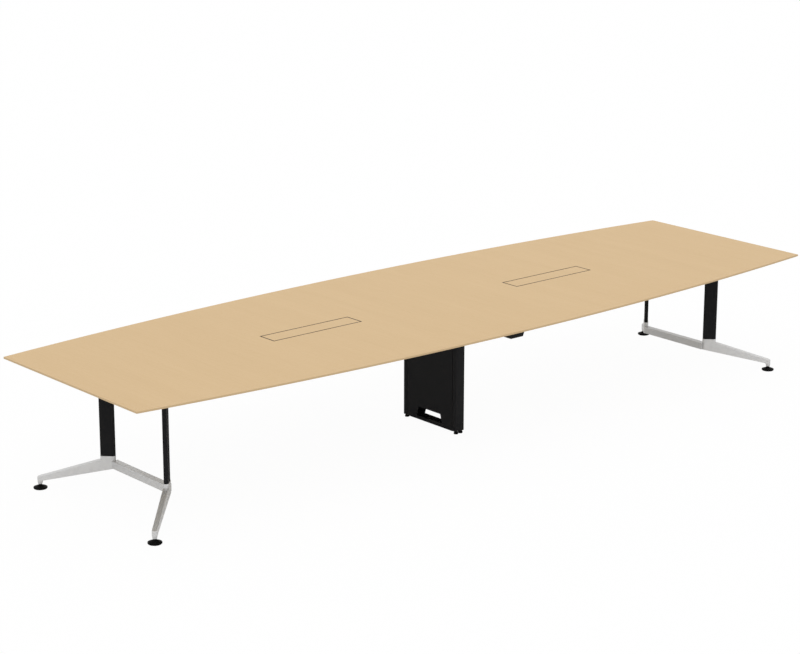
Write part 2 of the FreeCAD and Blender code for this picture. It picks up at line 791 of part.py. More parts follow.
def centre_beam():
    """The cross beam over the centre leg, which carries the seam of the top."""
    label = "centre_beam"
    body = new_body(label)
    lipped_channel(body, label, Size(0.0, "0"), centre_beam_length)
    for side_name, outward in (("left", -1), ("right", 1)):
        for row_name, side in (("front", -1), ("back", 1)):
            rail_stub(body, f"{label}_{side_name}_{row_name}_stub", Size(0.0, "0"), outward,
                      rail_y * side)
    for index, (x, y) in enumerate(leg_bolt_places()):
        cylinder(body, f"{label}_leg_hole_{index}", (x, y, beam_bottom - s.overrun),
                 s.big_bolt_diameter / 2 + s.bolt_clearance, s.beam_wall + s.overrun * 2, cut=True)
    lip_screw_holes(body, label, beam_screw_places(CENTRE_SCREW_SHARES))
    return node(body, label)


def leg_bolt_places():
    """Where the bolts from the centre beam into the head plate stand."""
    across, along = s.leg_depth / 4, duct_half_width - s.big_bolt_head
    return [(across * x, along * y) for x in (-1, 1) for y in (-1, 1)]


def beam_caps():
    """Moulded caps that plug the six open ends of the cross beams."""
    plugs = []
    half_head, half_centre = head_beam_length / 2, centre_beam_length / 2
    for name, x, reach in (("left", -column_x, half_head), ("middle", Size(0.0, "0"), half_centre),
                           ("right", column_x, half_head)):
        for side_name, side in (("front", -1), ("back", 1)):
            plate = doc.addObject("Part::Wedge", f"cap_{name}_{side_name}_plate")
            bind(plate, {"Xmin": -s.beam_width / 2, "Xmax": s.beam_width / 2, "X2min": -beam_top_half,
                         "X2max": beam_top_half, "Ymin": Size(0.0, "0"), "Ymax": s.beam_depth,
                         "Zmin": Size(0.0, "0"), "Z2min": Size(0.0, "0"), "Zmax": s.beam_wall,
                         "Z2max": s.beam_wall})
            plate_y = reach + s.beam_wall if side > 0 else -reach
            place(plate, (x, plate_y, beam_bottom), UPENDED)
            plug = doc.addObject("Part::Box", f"cap_{name}_{side_name}_plug")
            inset = s.beam_wall + s.beam_corner
            plug_height = s.beam_depth - s.beam_wall * 2 - s.slip_gap * 2
            bind(plug, {"Length": s.beam_width - inset * 2, "Width": s.cap_plug,
                        "Height": plug_height})
            plug_y = reach - s.cap_plug if side > 0 else -reach
            place(plug, (x - s.beam_width / 2 + inset, plug_y, web_top + s.slip_gap))
            cap = doc.addObject("Part::Fuse", f"cap_{name}_{side_name}")
            cap.Base, cap.Tool = plate, plug
            rounded = doc.addObject("Part::Fillet", f"cap_{name}_{side_name}_rounded")
            rounded.Base = cap
            doc.recompute()
            corner = at_height(runs_along("y"), beam_bottom)
            rounded.Edges = [(index, number(s.beam_corner), number(s.beam_corner))
                             for index, edge in enumerate(cap.Shape.Edges, start=1)
                             if corner(edge.BoundBox)]
            plugs.append(rounded)
    return group("beam_caps", plugs)


def rail(label, side, turned):
    """A long rectangular tube under the top, slipped over the stubs at both ends."""
    body = new_body(label)
    y = rail_y * side
    length = rail_end - rail_start
    box(body, f"{label}_bar", (rail_start, y - s.rail_width / 2, rail_bottom),
        (length, s.rail_width, s.rail_depth))
    round_edges(body, f"{label}_corners", s.rail_corner, runs_along("x"))
    wall = s.rail_wall
    box(body, f"{label}_bore", (rail_start - s.overrun, y - s.rail_width / 2 + wall,
                                rail_bottom + wall),
        (length + s.overrun * 2, s.rail_width - wall * 2, s.rail_depth - wall * 2), cut=True)
    for end, x in (("inner", rail_start + s.stub_length / 2), ("outer", rail_end - s.stub_length / 2)):
        cylinder(body, f"{label}_{end}_bolt_hole", (x, y, rail_bottom - s.overrun),
                 s.small_bolt_diameter / 2 + s.bolt_clearance, wall + s.overrun * 2, cut=True)
    return node(body, label, turned)


# Columns and cast feet. The run of a foot is drawn along x from the column's axis, then turned
FOOT_HEADINGS = {"back_right": (1, 1, 45, 1), "front_right": (1, -1, -45, -1),
                 "back_left": (-1, 1, 135, -1), "front_left": (-1, -1, -135, 1)}


def stand_on_corner(piece, corner, base=Size(0.0, "0")):
    """Move a piece drawn about a column's axis to its corner, facing out along the diagonal."""
    x_side, y_side, heading, _ = FOOT_HEADINGS[corner]
    place(piece, (column_x * x_side, column_y * y_side, base),
          Rotation(Vector(0, 0, 1), heading))


def column(corner):
    """A flat-oval tube with a drilled plate welded into each end."""
    label = f"column_{corner}"
    body = new_body(label)
    stadium(sketch(body, "XY_Plane", f"{label}_oval", s.collar_height),
            s.column_width, s.column_thickness)
    pad(body, body.Group[-1], f"{label}_tube", column_height)
    hollow_length = s.column_width - s.column_wall * 2
    hollow_thickness = s.column_thickness - s.column_wall * 2
    inside = stadium(sketch(body, "XY_Plane", f"{label}_inside_oval", s.collar_height
                            + s.column_plate), hollow_length, hollow_thickness)
    hollow = body.newObject("PartDesign::Pocket", f"{label}_inside")
    hollow.Profile = inside
    hollow.Reversed = True
    hollow.setExpression("Length", words(column_height - s.column_plate * 2))
    for end, x in (("outer", s.column_bolt_spacing / 2), ("inner", -s.column_bolt_spacing / 2)):
        cylinder(body, f"{label}_{end}_thread", (x, 0, s.collar_height - s.overrun),
                 s.big_bolt_diameter / 2 + s.bolt_clearance / 2, column_height + s.overrun * 2,
                 cut=True)
    stand_on_corner(body, corner)
    return node(body, label)


def arm_top(run):
    """Height of the arm's upper edge at a distance out from the column's axis."""
    return s.shoulder_height - arm_top_slope * (run - s.column_width / 2)


def arm_underside(run):
    """Height of the arm's lower edge at a distance out from the column's axis."""
    return s.arch_height - arm_under_slope * (run - s.arch_run)


def foot(corner):
    """A cast foot: collar, tapering hollow arm, toe and the knuckle that takes the low beam."""
    label = f"foot_{corner}"
    hand = FOOT_HEADINGS[corner][3]
    body = new_body(label)
    collar_half, half = s.column_width / 2 + s.collar_margin, s.arm_thickness / 2
    beyond = s.foot_run + s.arm_thickness
    side = sketch(body, "XZ_Plane", f"{label}_side")
    outline(side, [
        (-s.column_width, s.heel_height), (-s.heel_run, s.heel_height),
        (s.arch_run, s.arch_height), (s.foot_run - s.toe_overhang, s.toe_under),
        (s.foot_run - half, s.neck_height), (beyond, s.neck_height),
        (beyond, arm_top(beyond)), (s.column_width / 2, s.shoulder_height),
        (-s.column_width, s.shoulder_height)])
    pad(body, side, f"{label}_arm", s.arm_thickness + s.overrun, midplane=True)
    plan = sketch(body, "XY_Plane", f"{label}_plan")
    root_centre = half - collar_half
    outline(plan, [(root_centre, -half), (s.foot_run, -half), (s.foot_run, half),
                   (root_centre, half)],
            {1: ("x", s.foot_run, True), 3: ("x", root_centre, True)})
    rectangle(plan, (-beyond, -beyond), (beyond * 2, beyond))
    pocket_through(body, plan, f"{label}_sides")
    level_top = number(s.shoulder_height)
    round_edges(body, f"{label}_upper_edges", s.arm_edge_round,
                lambda bounds: not runs_along("y")(bounds)
                and abs(bounds.Center.z - min(level_top, number(arm_top(bounds.Center.x)))) < 0.5)
    neck = body.newObject("PartDesign::AdditiveCone", f"{label}_neck")
    bind(neck, {"Radius1": s.neck_half_width, "Radius2": half,
                "Height": s.neck_height - s.neck_bottom})
    place(neck, (s.foot_run, 0, s.neck_bottom))
    collar = stadium(sketch(body, "XY_Plane", f"{label}_collar_oval", s.shoulder_height
                            - s.arm_thickness), collar_half * 2, s.arm_thickness)
    pad(body, collar, f"{label}_collar", s.collar_height - s.shoulder_height + s.arm_thickness)
    foot_knuckle(body, label, hand)
    foot_hollows(body, label)
    for end, x in (("outer", s.column_bolt_spacing / 2), ("inner", -s.column_bolt_spacing / 2)):
        cylinder(body, f"{label}_{end}_bolt_hole", (x, 0, s.arch_height),
                 s.big_bolt_diameter / 2 + s.bolt_clearance, s.collar_height - s.arch_height
                 + s.overrun, cut=True)
        cylinder(body, f"{label}_{end}_counterbore", (x, 0, s.arch_height - s.overrun),
                 s.big_bolt_head / 2 + s.slip_gap, foot_bolt_seat - s.arch_height + s.overrun,
                 cut=True)
    cylinder(body, f"{label}_glide_bore", (s.foot_run, 0, s.neck_bottom - s.overrun),
             s.glide_stem_diameter / 2 + s.running_gap,
             s.glide_stem_reach + s.overrun + s.slip_gap, cut=True)
    stand_on_corner(body, corner)
    return node(body, label)


foot_bolt_seat = s.collar_height - s.big_bolt_diameter * 2


def beam_place(hand, along, inward):
    """A point seen from the column's axis: so far along the low beam, so far in from it."""
    return ((along + inward) * -DIAGONAL, (inward - along) * DIAGONAL * hand)


def foot_knuckle(body, label, hand):
    """The square knuckle and the drilled spigot on which the low beam is slipped."""
    turn = Rotation(Vector(0, 0, 1), 90 + 45 * hand)
    size, play = s.low_beam_size, s.low_beam_wall + s.slip_gap
    reach = s.knuckle_reach
    x, y = beam_place(hand, reach, s.low_beam_inset - size * hand)
    box(body, f"{label}_beam_face", (x, y, s.arch_height),
        (size * 2, size, s.shoulder_height - s.arch_height - s.arm_edge_round), cut=True,
        rotation=turn)
    for name, width, start, length in (
            ("knuckle", size, reach - s.knuckle_length, s.knuckle_length),
            ("spigot", size - play * 2, reach, s.spigot_length)):
        x, y = beam_place(hand, start, s.low_beam_inset - width / 2 * hand)
        box(body, f"{label}_{name}", (x, y, s.low_beam_centre - width / 2),
            (width, length, width), rotation=turn)
    x, y = beam_place(hand, reach + s.spigot_length / 2, s.low_beam_inset)
    cylinder(body, f"{label}_beam_bolt_hole", (x, y, low_beam_bottom),
             s.small_bolt_diameter / 2 + s.bolt_clearance / 2,
             s.low_beam_wall + s.small_bolt_grip + s.slip_gap, cut=True)


def foot_hollows(body, label):
    """Two pockets under the arm, open below, with a rib between them."""
    first, last = s.hollow_start, s.foot_run - s.toe_overhang - s.casting_wall * 2
    middle = (first + last) / 2
    for name, start, end in (("root", first, middle - s.rib_thickness / 2),
                             ("toe", middle + s.rib_thickness / 2, last)):
        sections = []
        for run in (start, end):
            half = s.arm_thickness / 2 - s.casting_wall
            drawing = sketch(body, "YZ_Plane", f"{label}_{name}_{len(sections)}", run)
            rectangle(drawing, (-half, arm_underside(run) - s.overrun),
                      (half, arm_top(run) - s.casting_roof))
            sections.append(drawing)
        loft(body, sections[0], sections[1], f"{label}_{name}_hollow", cut=True)


def low_beam(label, turned):
    """The square tube between the two feet of an end frame."""
    body = new_body(label)
    x = column_x - s.low_beam_inset
    size, wall = s.low_beam_size, s.low_beam_wall
    box(body, f"{label}_bar", (x - size / 2, -low_beam_end, low_beam_bottom),
        (size, low_beam_end * 2, size))
    round_edges(body, f"{label}_corners", s.low_beam_corner, runs_along("y"))
    box(body, f"{label}_bore", (x - size / 2 + wall, -low_beam_end - s.overrun,
                                low_beam_bottom + wall),
        (size - wall * 2, (low_beam_end + s.overrun) * 2, size - wall * 2), cut=True)
    for side_name, side in (("front", -1), ("back", 1)):
        cylinder(body, f"{label}_{side_name}_bolt_hole",
                 (x, (low_beam_end - s.spigot_length / 2) * side, low_beam_bottom - s.overrun),
                 s.small_bolt_diameter / 2 + s.bolt_clearance, wall + s.overrun * 2, cut=True)
    return node(body, label, turned)


# Levelling glides and the centre leg's adjusters: a pad on the floor and a stem that turns in it
def turned_pad(body, label, profile, pivot_radius, pivot_bottom, top):
    """A round foot pad with a blind socket for its stem."""
    drawing = outline(sketch(body, "XZ_Plane", f"{label}_profile"), profile)
    turned_profile(body, drawing, f"{label}_turning")
    cylinder(body, f"{label}_socket", (0, 0, pivot_bottom), pivot_radius + s.running_gap,
             top - pivot_bottom + s.overrun, cut=True)


def glide_pad(corner):
    """A wide dished pad with a hub."""
    label = f"glide_pad_{corner}"
    body = new_body(label)
    radius, hub = s.glide_diameter / 2, s.glide_hub_diameter / 2
    dome_top = s.glide_rim + s.glide_dome_rise
    profile = [(0, 0), (radius - s.glide_rim_chamfer, 0), (radius, s.glide_rim_chamfer),
               (radius, s.glide_rim), (hub * 2, dome_top), (hub, glide_pad_top),
               (0, glide_pad_top)]
    turned_pad(body, label, profile, s.glide_pivot_diameter / 2,
               glide_pad_top - s.glide_pivot_depth, glide_pad_top)
    stand_glide(body, corner)
    return node(body, label)


def stand_glide(piece, corner):
    """Move a glide piece under the toe of its foot."""
    x_side, y_side, _, _ = FOOT_HEADINGS[corner]
    out = s.foot_run * DIAGONAL
    place(piece, ((column_x + out) * x_side, (column_y + out) * y_side, Size(0.0, "0")))


def stem(body, label, hex_size, hex_height, stem_radius, reach, pivot_radius, pivot_depth,
         pad_top):
    """A screwed stem: a pivot down in the pad, a hexagon for the spanner and the thread above."""
    hexagon = body.newObject("PartDesign::AdditivePrism", f"{label}_hexagon")
    hexagon.Polygon = KEY_FLATS
    bind(hexagon, {"Circumradius": hex_size / math.sqrt(3), "Height": hex_height})
    place(hexagon, (0, 0, pad_top))
    cylinder(body, f"{label}_thread", (0, 0, pad_top), stem_radius, hex_height + reach)
    cylinder(body, f"{label}_pivot", (0, 0, pad_top - pivot_depth + s.slip_gap), pivot_radius,
             pivot_depth)


def glide_stem(corner):
    """The screwed stem of a glide."""
    label = f"glide_stem_{corner}"
    body = new_body(label)
    stem(body, label, s.glide_hex, s.glide_hex_height, s.glide_stem_diameter / 2,
         s.glide_stem_reach, s.glide_pivot_diameter / 2, s.glide_pivot_depth, glide_pad_top)
    stand_glide(body, corner)
    return node(body, label)


def levelling_place(corner):
    """Where an adjuster of the centre leg stands."""
    x_side, y_side, _, _ = FOOT_HEADINGS[corner]
    return (s.levelling_spacing / 2 * x_side, post_y * y_side, Size(0.0, "0"))


def leg_pad(corner):
    """The small pad of an adjuster of the centre leg."""
    label = f"leg_pad_{corner}"
    body = new_body(label)
    radius = s.levelling_diameter / 2
    chamfer = s.levelling_chamfer
    profile = [(0, 0), (radius, 0), (radius, levelling_pad_top - chamfer),
               (radius - chamfer, levelling_pad_top), (0, levelling_pad_top)]
    turned_pad(body, label, profile, s.levelling_pivot_diameter / 2,
               levelling_pad_top - s.levelling_pivot_depth, levelling_pad_top)
    place(body, levelling_place(corner))
    return node(body, label)


def leg_stem(corner):
    """The screwed stem of an adjuster of the centre leg."""
    label = f"leg_stem_{corner}"
    body = new_body(label)
    stem(body, label, s.levelling_hex, s.levelling_hex_height, s.levelling_stem_diameter / 2,
         s.levelling_stem_reach, s.levelling_pivot_diameter / 2, s.levelling_pivot_depth,
         levelling_pad_top)
    place(body, levelling_place(corner))
    return node(body, label)


# The centre cable leg
def leg_post(label, turned):
    """A hollow end post with rounded corners, a thick drilled floor and an open top."""
    body = new_body(label)
    inner_y, outer_y = duct_half_width, s.leg_width / 2
    height = head_plate_bottom - s.post_bottom
    box(body, f"{label}_bar", (-leg_face, inner_y, s.post_bottom),
        (s.leg_depth, s.post_width, height))
    outside = number(outer_y)
    round_edges(body, f"{label}_corners", s.post_corner,
                lambda bounds: runs_along("z")(bounds) and bounds.YMin > outside - 1e-3)
    round_edges(body, f"{label}_toe", s.post_toe_round,
                lambda bounds: runs_along("x")(bounds) and bounds.YMin > outside - 1e-3
                and bounds.ZMax < number(s.post_bottom) + 1e-3)
    wall = s.post_wall
    floor = s.post_bottom + s.post_toe_round + s.post_floor
    box(body, f"{label}_inside", (wall - leg_face, inner_y + wall, floor),
        (s.leg_depth - wall * 2, s.post_width - wall * 2, height), cut=True)
    for side_name, side in (("left", -1), ("right", 1)):
        cylinder(body, f"{label}_{side_name}_thread",
                 (s.levelling_spacing / 2 * side, post_y, s.post_bottom - s.overrun),
                 s.levelling_stem_diameter / 2 + s.running_gap,
                 s.post_toe_round + s.post_floor + s.overrun * 2, cut=True)
    return node(body, label, turned)


def leg_slot(body, label):
    """Cut the cable slot, wider at its foot, through whatever lies across the leg there."""
    low, high = s.slot_bottom_width / 2, s.slot_top_width / 2
    drawing = sketch(body, "YZ_Plane", f"{label}_slot_outline")
    outline(drawing, [(-low, s.slot_bottom), (low, s.slot_bottom), (high, s.slot_top),
                      (-high, s.slot_top)])
    return pocket_through(body, drawing, f"{label}_slot")


def leg_cover(label, turned):
    """A folded steel cover with lips on all four edges, slotted below and open above."""
    body = new_body(label)
    bottom = s.base_top + s.cover_seat_gap
    height = head_plate_bottom - s.cover_seat_gap - bottom
    half = duct_half_width - s.cover_gap
    wall = s.cover_wall
    box(body, f"{label}_panel", (leg_face - s.cover_lip, -half, bottom),
        (s.cover_lip, half * 2, height))
    box(body, f"{label}_inside", (leg_face - s.cover_lip - s.overrun, wall - half, bottom + wall),
        (s.cover_lip + s.overrun - wall, (half - wall) * 2, height - wall * 2), cut=True)
    leg_slot(body, label)
    entry_bottom = bottom + height - s.entry_height
    box(body, f"{label}_entry", (leg_face - s.cover_lip - s.overrun, -s.entry_width / 2,
                                 entry_bottom),
        (s.cover_lip + s.overrun * 2, s.entry_width, s.entry_height + s.overrun), cut=True)
    return node(body, label, turned)


def leg_base():
    """The channel between the posts at the foot of the centre leg."""
    label = "leg_base"
    body = new_body(label)
    wall = s.base_wall
    box(body, f"{label}_channel", (-leg_face, -duct_half_width, s.post_bottom),
        (s.leg_depth, duct_half_width * 2, s.base_top - s.post_bottom))
    box(body, f"{label}_inside", (wall - leg_face, -duct_half_width - s.overrun,
                                  s.post_bottom + wall),
        (s.leg_depth - wall * 2, (duct_half_width + s.overrun) * 2, s.base_top), cut=True)
    leg_slot(body, label)
    return node(body, label)


def leg_head():
    """The plate welded across the posts, threaded for the bolts from the centre beam."""
    label = "leg_head"
    body = new_body(label)
    box(body, f"{label}_plate", (-leg_face, -s.leg_width / 2, head_plate_bottom),
        (s.leg_depth, s.leg_width, s.head_plate))
    for index, (x, y) in enumerate(leg_bolt_places()):
        cylinder(body, f"{label}_thread_{index}", (x, y, head_plate_bottom - s.overrun),
                 s.big_bolt_diameter / 2 + s.bolt_clearance / 2, s.head_plate + s.overrun * 2,
                 cut=True)
    return node(body, label)


# Bolts
def bolt(name, at, diameter, head, head_height, key, length, upwards=False):
    """A socket-head bolt whose head seats at the given point."""
    x, y, z = at
    key_depth = head_height * KEY_DEPTH_SHARE
    head_bottom, shank_bottom, key_bottom = z, z - length, z + head_height - key_depth
    if upwards:
        head_bottom, shank_bottom, key_bottom = z - head_height, z, z - head_height * 2 + key_depth
    whole = doc.addObject("Part::Fuse", f"{name}_blank")
    whole.Base = bar_with_flats(f"{name}_head", head / 2, head_height, (x, y, head_bottom),
                                BOLT_FLATS)
    whole.Tool = bar_with_flats(f"{name}_shank", diameter / 2, length, (x, y, shank_bottom),
                                BOLT_FLATS)
    finished = doc.addObject("Part::Cut", name)
    finished.Base = whole
    finished.Tool = bar_with_flats(f"{name}_key", key / math.sqrt(3), head_height,
                                   (x, y, key_bottom), KEY_FLATS)
    return finished


def big_bolt(name, at, length, upwards=False):
    """A bolt for the columns, feet and centre leg."""
    return bolt(name, at, s.big_bolt_diameter, s.big_bolt_head, s.big_bolt_head_height,
                s.big_bolt_key, length, upwards)


def small_bolt(name, at, length):
    """A low-headed bolt, put in from below, for the rails and low beams."""
    return bolt(name, at, s.small_bolt_diameter, s.small_bolt_head, s.small_bolt_head_height,
                s.small_bolt_key, length, upwards=True)


def all_bolts():
    """Every structural bolt, one node for each kind of joint."""
    column_bolts, foot_bolts = [], []
    head_length = s.beam_wall + s.big_bolt_grip - s.slip_gap
    foot_length = s.collar_height - foot_bolt_seat + s.big_bolt_grip - s.slip_gap
    for x_name, x_side in (("left", -1), ("right", 1)):
        for y_name, y_side in (("front", -1), ("back", 1)):
            for bolt_name, (x, y) in column_bolt_places(y_side).items():
                name = f"{y_name}_{x_name}_{bolt_name}"
                column_bolts.append(big_bolt(f"column_bolt_{name}", (x * x_side, y, web_top),
                                             head_length))
                foot_bolts.append(big_bolt(f"foot_bolt_{name}", (x * x_side, y, foot_bolt_seat),
                                           foot_length, upwards=True))
    group("column_bolts", column_bolts)
    group("foot_bolts", foot_bolts)
    group("leg_bolts", [big_bolt(f"leg_bolt_{index}", (x, y, web_top),
                                 s.beam_wall + s.head_plate)
                        for index, (x, y) in enumerate(leg_bolt_places())])
    rail_bolts, low_beam_bolts = [], []
    rail_length = stub_gap + s.stub_wall + s.slip_gap
    low_beam_length = s.low_beam_wall + s.small_bolt_grip
    ends = {"inner": rail_start + s.stub_length / 2, "outer": rail_end - s.stub_length / 2}
    for x_name, x_side in (("left", -1), ("right", 1)):
        for y_name, y_side in (("front", -1), ("back", 1)):
            for end, x in ends.items():
                rail_bolts.append(small_bolt(f"rail_bolt_{y_name}_{x_name}_{end}",
                                             (x * x_side, rail_y * y_side, rail_bottom),
                                             rail_length))
            beam_y = (low_beam_end - s.spigot_length / 2) * y_side
            low_beam_bolts.append(small_bolt(f"low_beam_bolt_{y_name}_{x_name}",
                                             ((column_x - s.low_beam_inset) * x_side, beam_y,
                                              low_beam_bottom), low_beam_length))
    group("rail_bolts", rail_bolts)
    group("low_beam_bolts", low_beam_bolts)
    beam_places, _ = half_screw_places()
    wood_screws("beam_screws", [(s.beam_wall, beam_places)])
    box_places, tray_places = box_screw_places(), tray_screw_places()
    wood_screws("wiring_screws", [(s.box_wall, box_places), (s.tray_wall, tray_places)])


def build():
    """Make every piece of the table."""
    for side_name, turned in (("right", False), ("left", True)):
        top_half(f"top_{side_name}", turned)
        lid(f"lid_{side_name}", turned)
        lid_pins(f"lid_pins_{side_name}", turned)
        lid_bumpers(f"lid_bumpers_{side_name}", turned)
        wiring_box(f"wiring_box_{side_name}", turned)
        cable_tray(f"cable_tray_{side_name}", turned)
        head_beam(f"head_beam_{side_name}", turned)
        low_beam(f"low_beam_{side_name}", turned)
        leg_cover(f"leg_cover_{side_name}", turned)
    dowels()
    centre_beam()
    beam_caps()
    rail("rail_back_right", 1, False)
    rail("rail_front_right", -1, False)
    rail("rail_back_left", -1, True)
    rail("rail_front_left", 1, True)
    for corner in FOOT_HEADINGS:
        column(corner)
        foot(corner)
        glide_pad(corner)
        glide_stem(corner)
        leg_pad(corner)
        leg_stem(corner)
    leg_post("leg_post_back", False)
    leg_post("leg_post_front", True)
    leg_base()
    leg_head()
    all_bolts()
    doc.recompute()


def write_parts():
    """Check every object and every piece, then write one file for each piece."""
    faults = [item.Label for item in doc.Objects if "Invalid" in item.State or "Error" in item.State]
    faults += [piece.Label for piece in nodes if piece.Shape.isNull() or not piece.Shape.isValid()]
    if faults:
        raise RuntimeError(f"these did not build: {faults}")
    os.makedirs("parts", exist_ok=True)
    for piece in nodes:
        piece.Shape.exportStep(f"parts/{piece.Label}.step")
        print(piece.Label, len(piece.Shape.Solids), "solids", round(piece.Shape.Volume))
    print(len(nodes), "nodes")


build()
write_parts()
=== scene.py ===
"""Looks of a boat-shaped conference table: its finishes, fine fittings, light and view.

Everything is in metres. X runs along the table, Y across it with the front at -Y, Z is up.
"""

import json
import logging
import math
from collections.abc import Iterable
from dataclasses import dataclass
from enum import Enum
from typing import Any, Union

import bpy
from mathutils import Matrix, Vector


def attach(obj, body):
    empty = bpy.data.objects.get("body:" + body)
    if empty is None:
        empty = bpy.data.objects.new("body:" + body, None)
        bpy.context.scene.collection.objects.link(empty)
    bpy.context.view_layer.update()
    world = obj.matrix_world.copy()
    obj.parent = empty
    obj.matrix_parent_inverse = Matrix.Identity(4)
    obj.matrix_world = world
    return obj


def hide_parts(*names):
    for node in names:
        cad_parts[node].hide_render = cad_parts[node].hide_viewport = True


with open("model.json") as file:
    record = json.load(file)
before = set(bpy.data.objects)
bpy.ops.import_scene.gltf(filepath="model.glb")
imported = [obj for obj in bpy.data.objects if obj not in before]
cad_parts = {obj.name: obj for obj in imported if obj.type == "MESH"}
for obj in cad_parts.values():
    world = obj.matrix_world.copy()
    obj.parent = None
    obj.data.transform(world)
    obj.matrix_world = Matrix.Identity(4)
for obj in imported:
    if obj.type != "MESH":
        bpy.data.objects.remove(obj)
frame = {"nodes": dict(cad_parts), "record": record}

log = logging.getLogger("conference_table")

Colour = tuple[float, float, float, float]
Point = tuple[float, float, float]
Limits = tuple[float, float]
Socket = bpy.types.NodeSocket
Number = Union["Value", float]

MILLIMETRE = 0.001
CORNERS = ("front_left", "front_right", "back_left", "back_right")
WHITE: Colour = (1.0, 1.0, 1.0, 1.0)
PATTERN_MIDDLE = 0.5

# How finely the round shapes of the fittings are made.
HEAD_SIDES = 18
SHANK_SIDES = 12
STEM_SIDES = 28
THREAD_STEPS = 18
RIDGE_SIDES = 4
HEXAGON_SIDES = 6
SQUARE_SIDES = 4
SHARP_ANGLE = math.radians(35)

# The fittings' details, as shares of the height, radius, width or pitch that they follow.
THREAD_DEPTH_SHARE = 0.36
RECESS_DEPTH_SHARE = 0.6
RECESS_FLOOR_SHARE = 1.0 - RECESS_DEPTH_SHARE
CHAMFER_SHARE = 0.10
CROSS_WING_SHARE = 0.22
HEXAGON_RIM_SHARE = 0.93
CUTTER_OVERRUN_SHARE = 0.3
SPREAD_SHARE = 2.2


def srgb(red: int, green: int, blue: int) -> Colour:
    """Turn a screen colour into the linear colour that the shaders use.

    Args:
        red: Red from 0 to 255.
        green: Green from 0 to 255.
        blue: Blue from 0 to 255.

    Returns:
        The linear colour, opaque.
    """
    linear = [
        part / 12.92 if part <= 0.04045 else ((part + 0.055) / 1.055) ** 2.4
        for part in (red / 255, green / 255, blue / 255)
    ]
    return (linear[0], linear[1], linear[2], 1.0)


def tinted(colour: Colour, factor: float) -> Colour:
    """Make a colour lighter or darker.

    Args:
        colour: The colour.
        factor: What its red, green and blue are multiplied by.

    Returns:
        The new colour, opaque.
    """
    red, green, blue = (min(1.0, part * factor) for part in colour[:3])
    return (red, green, blue, 1.0)


def evenly(cells: float) -> Point:
    """Give a pattern the same number of cells to the metre along X, Y and Z."""
    return (cells, cells, cells)


def box_of(points: Iterable[Point]) -> tuple[Point, Point]:
    """Give the box that holds some points, as its lowest and its highest corner."""
    columns = list(zip(*points))
    return tuple(map(min, columns)), tuple(map(max, columns))


class Value:
    """A number worked out by nodes: a socket that takes Python's arithmetic."""

    def __init__(self, maker: "NodeMaker", socket: Socket) -> None:
        """Wrap a socket of a node tree."""
        self.maker = maker
        self.socket = socket

    def _math(self, operation: str, first: Number, second: Number = 0.0) -> "Value":
        """Add one Math node and return its result."""
        node = self.maker.node("ShaderNodeMath", {"operation": operation}, {0: first, 1: second})
        return Value(self.maker, node.outputs[0])

    def __add__(self, other: Number) -> "Value":
        """Add."""
        return self._math("ADD", self, other)

    def __sub__(self, other: Number) -> "Value":
        """Take away."""
        return self._math("SUBTRACT", self, other)

    def __rsub__(self, other: Number) -> "Value":
        """Take this value away from a number."""
        return self._math("SUBTRACT", other, self)

    def __mul__(self, other: Number) -> "Value":
        """Multiply."""
        return self._math("MULTIPLY", self, other)

    def __truediv__(self, other: Number) -> "Value":
        """Divide."""
        return self._math("DIVIDE", self, other)

    __radd__ = __add__
    __rmul__ = __mul__

    def away_from(self, place: float) -> "Value":
        """Give the distance from a place, always positive."""
        return self._math("ABSOLUTE", self - place)

    def or_more(self, other: Number) -> "Value":
        """Give the larger of this value and another."""
        return self._math("MAXIMUM", self, other)

    def swing(self, width: float) -> "Value":
        """Turn a pattern that runs from 0 to 1 into one of the given width about 0."""
        return (self - PATTERN_MIDDLE) * width

    def between(self, low: float, high: float) -> "Value":
        """Rise smoothly from 0 at the low end to 1 at the high end.

        Args:
            low: The value at which the result starts to rise.
            high: The value at which it reaches 1.

        Returns:
            The eased step.
        """
        node = self.maker.node(
            "ShaderNodeMapRange",
            {"interpolation_type": "SMOOTHSTEP"},
            {"Value": self, "From Min": low, "From Max": high},
        )
        return Value(self.maker, node.outputs[0])


class NodeMaker:
    """A node tree under construction, for a look or for a shape."""

    def __init__(self, tree: bpy.types.NodeTree) -> None:
        """Start on an empty tree."""
        self.tree = tree
        self.tree.nodes.clear()

    def node(
        self,
        kind: str,
        settings: dict[str, Any] | None = None,
        inputs: dict[Any, Any] | None = None,
    ) -> bpy.types.Node:
        """Add a node, set it up, then fill its sockets.

        Args:
            kind: Blender's name of the node's type.
            settings: The node's own settings.
            inputs: A number, colour, socket or Value for each socket, by name or place.

        Returns:
            The new node.
        """
        node = self.tree.nodes.new(kind)
        for key, setting in (settings or {}).items():
            setattr(node, key, setting)
        for key, value in (inputs or {}).items():
            self.feed(node.inputs[key], value)
        return node

    def feed(self, socket: Socket, value: Any) -> None:
        """Give a socket its number or colour, or link it to what works it out.

        Args:
            socket: The socket.
            value: A number, colour, socket or Value.
        """
        if isinstance(value, Value):
            value = value.socket
        if isinstance(value, Socket):
            self.tree.links.new(value, socket)
        else:
            socket.default_value = value


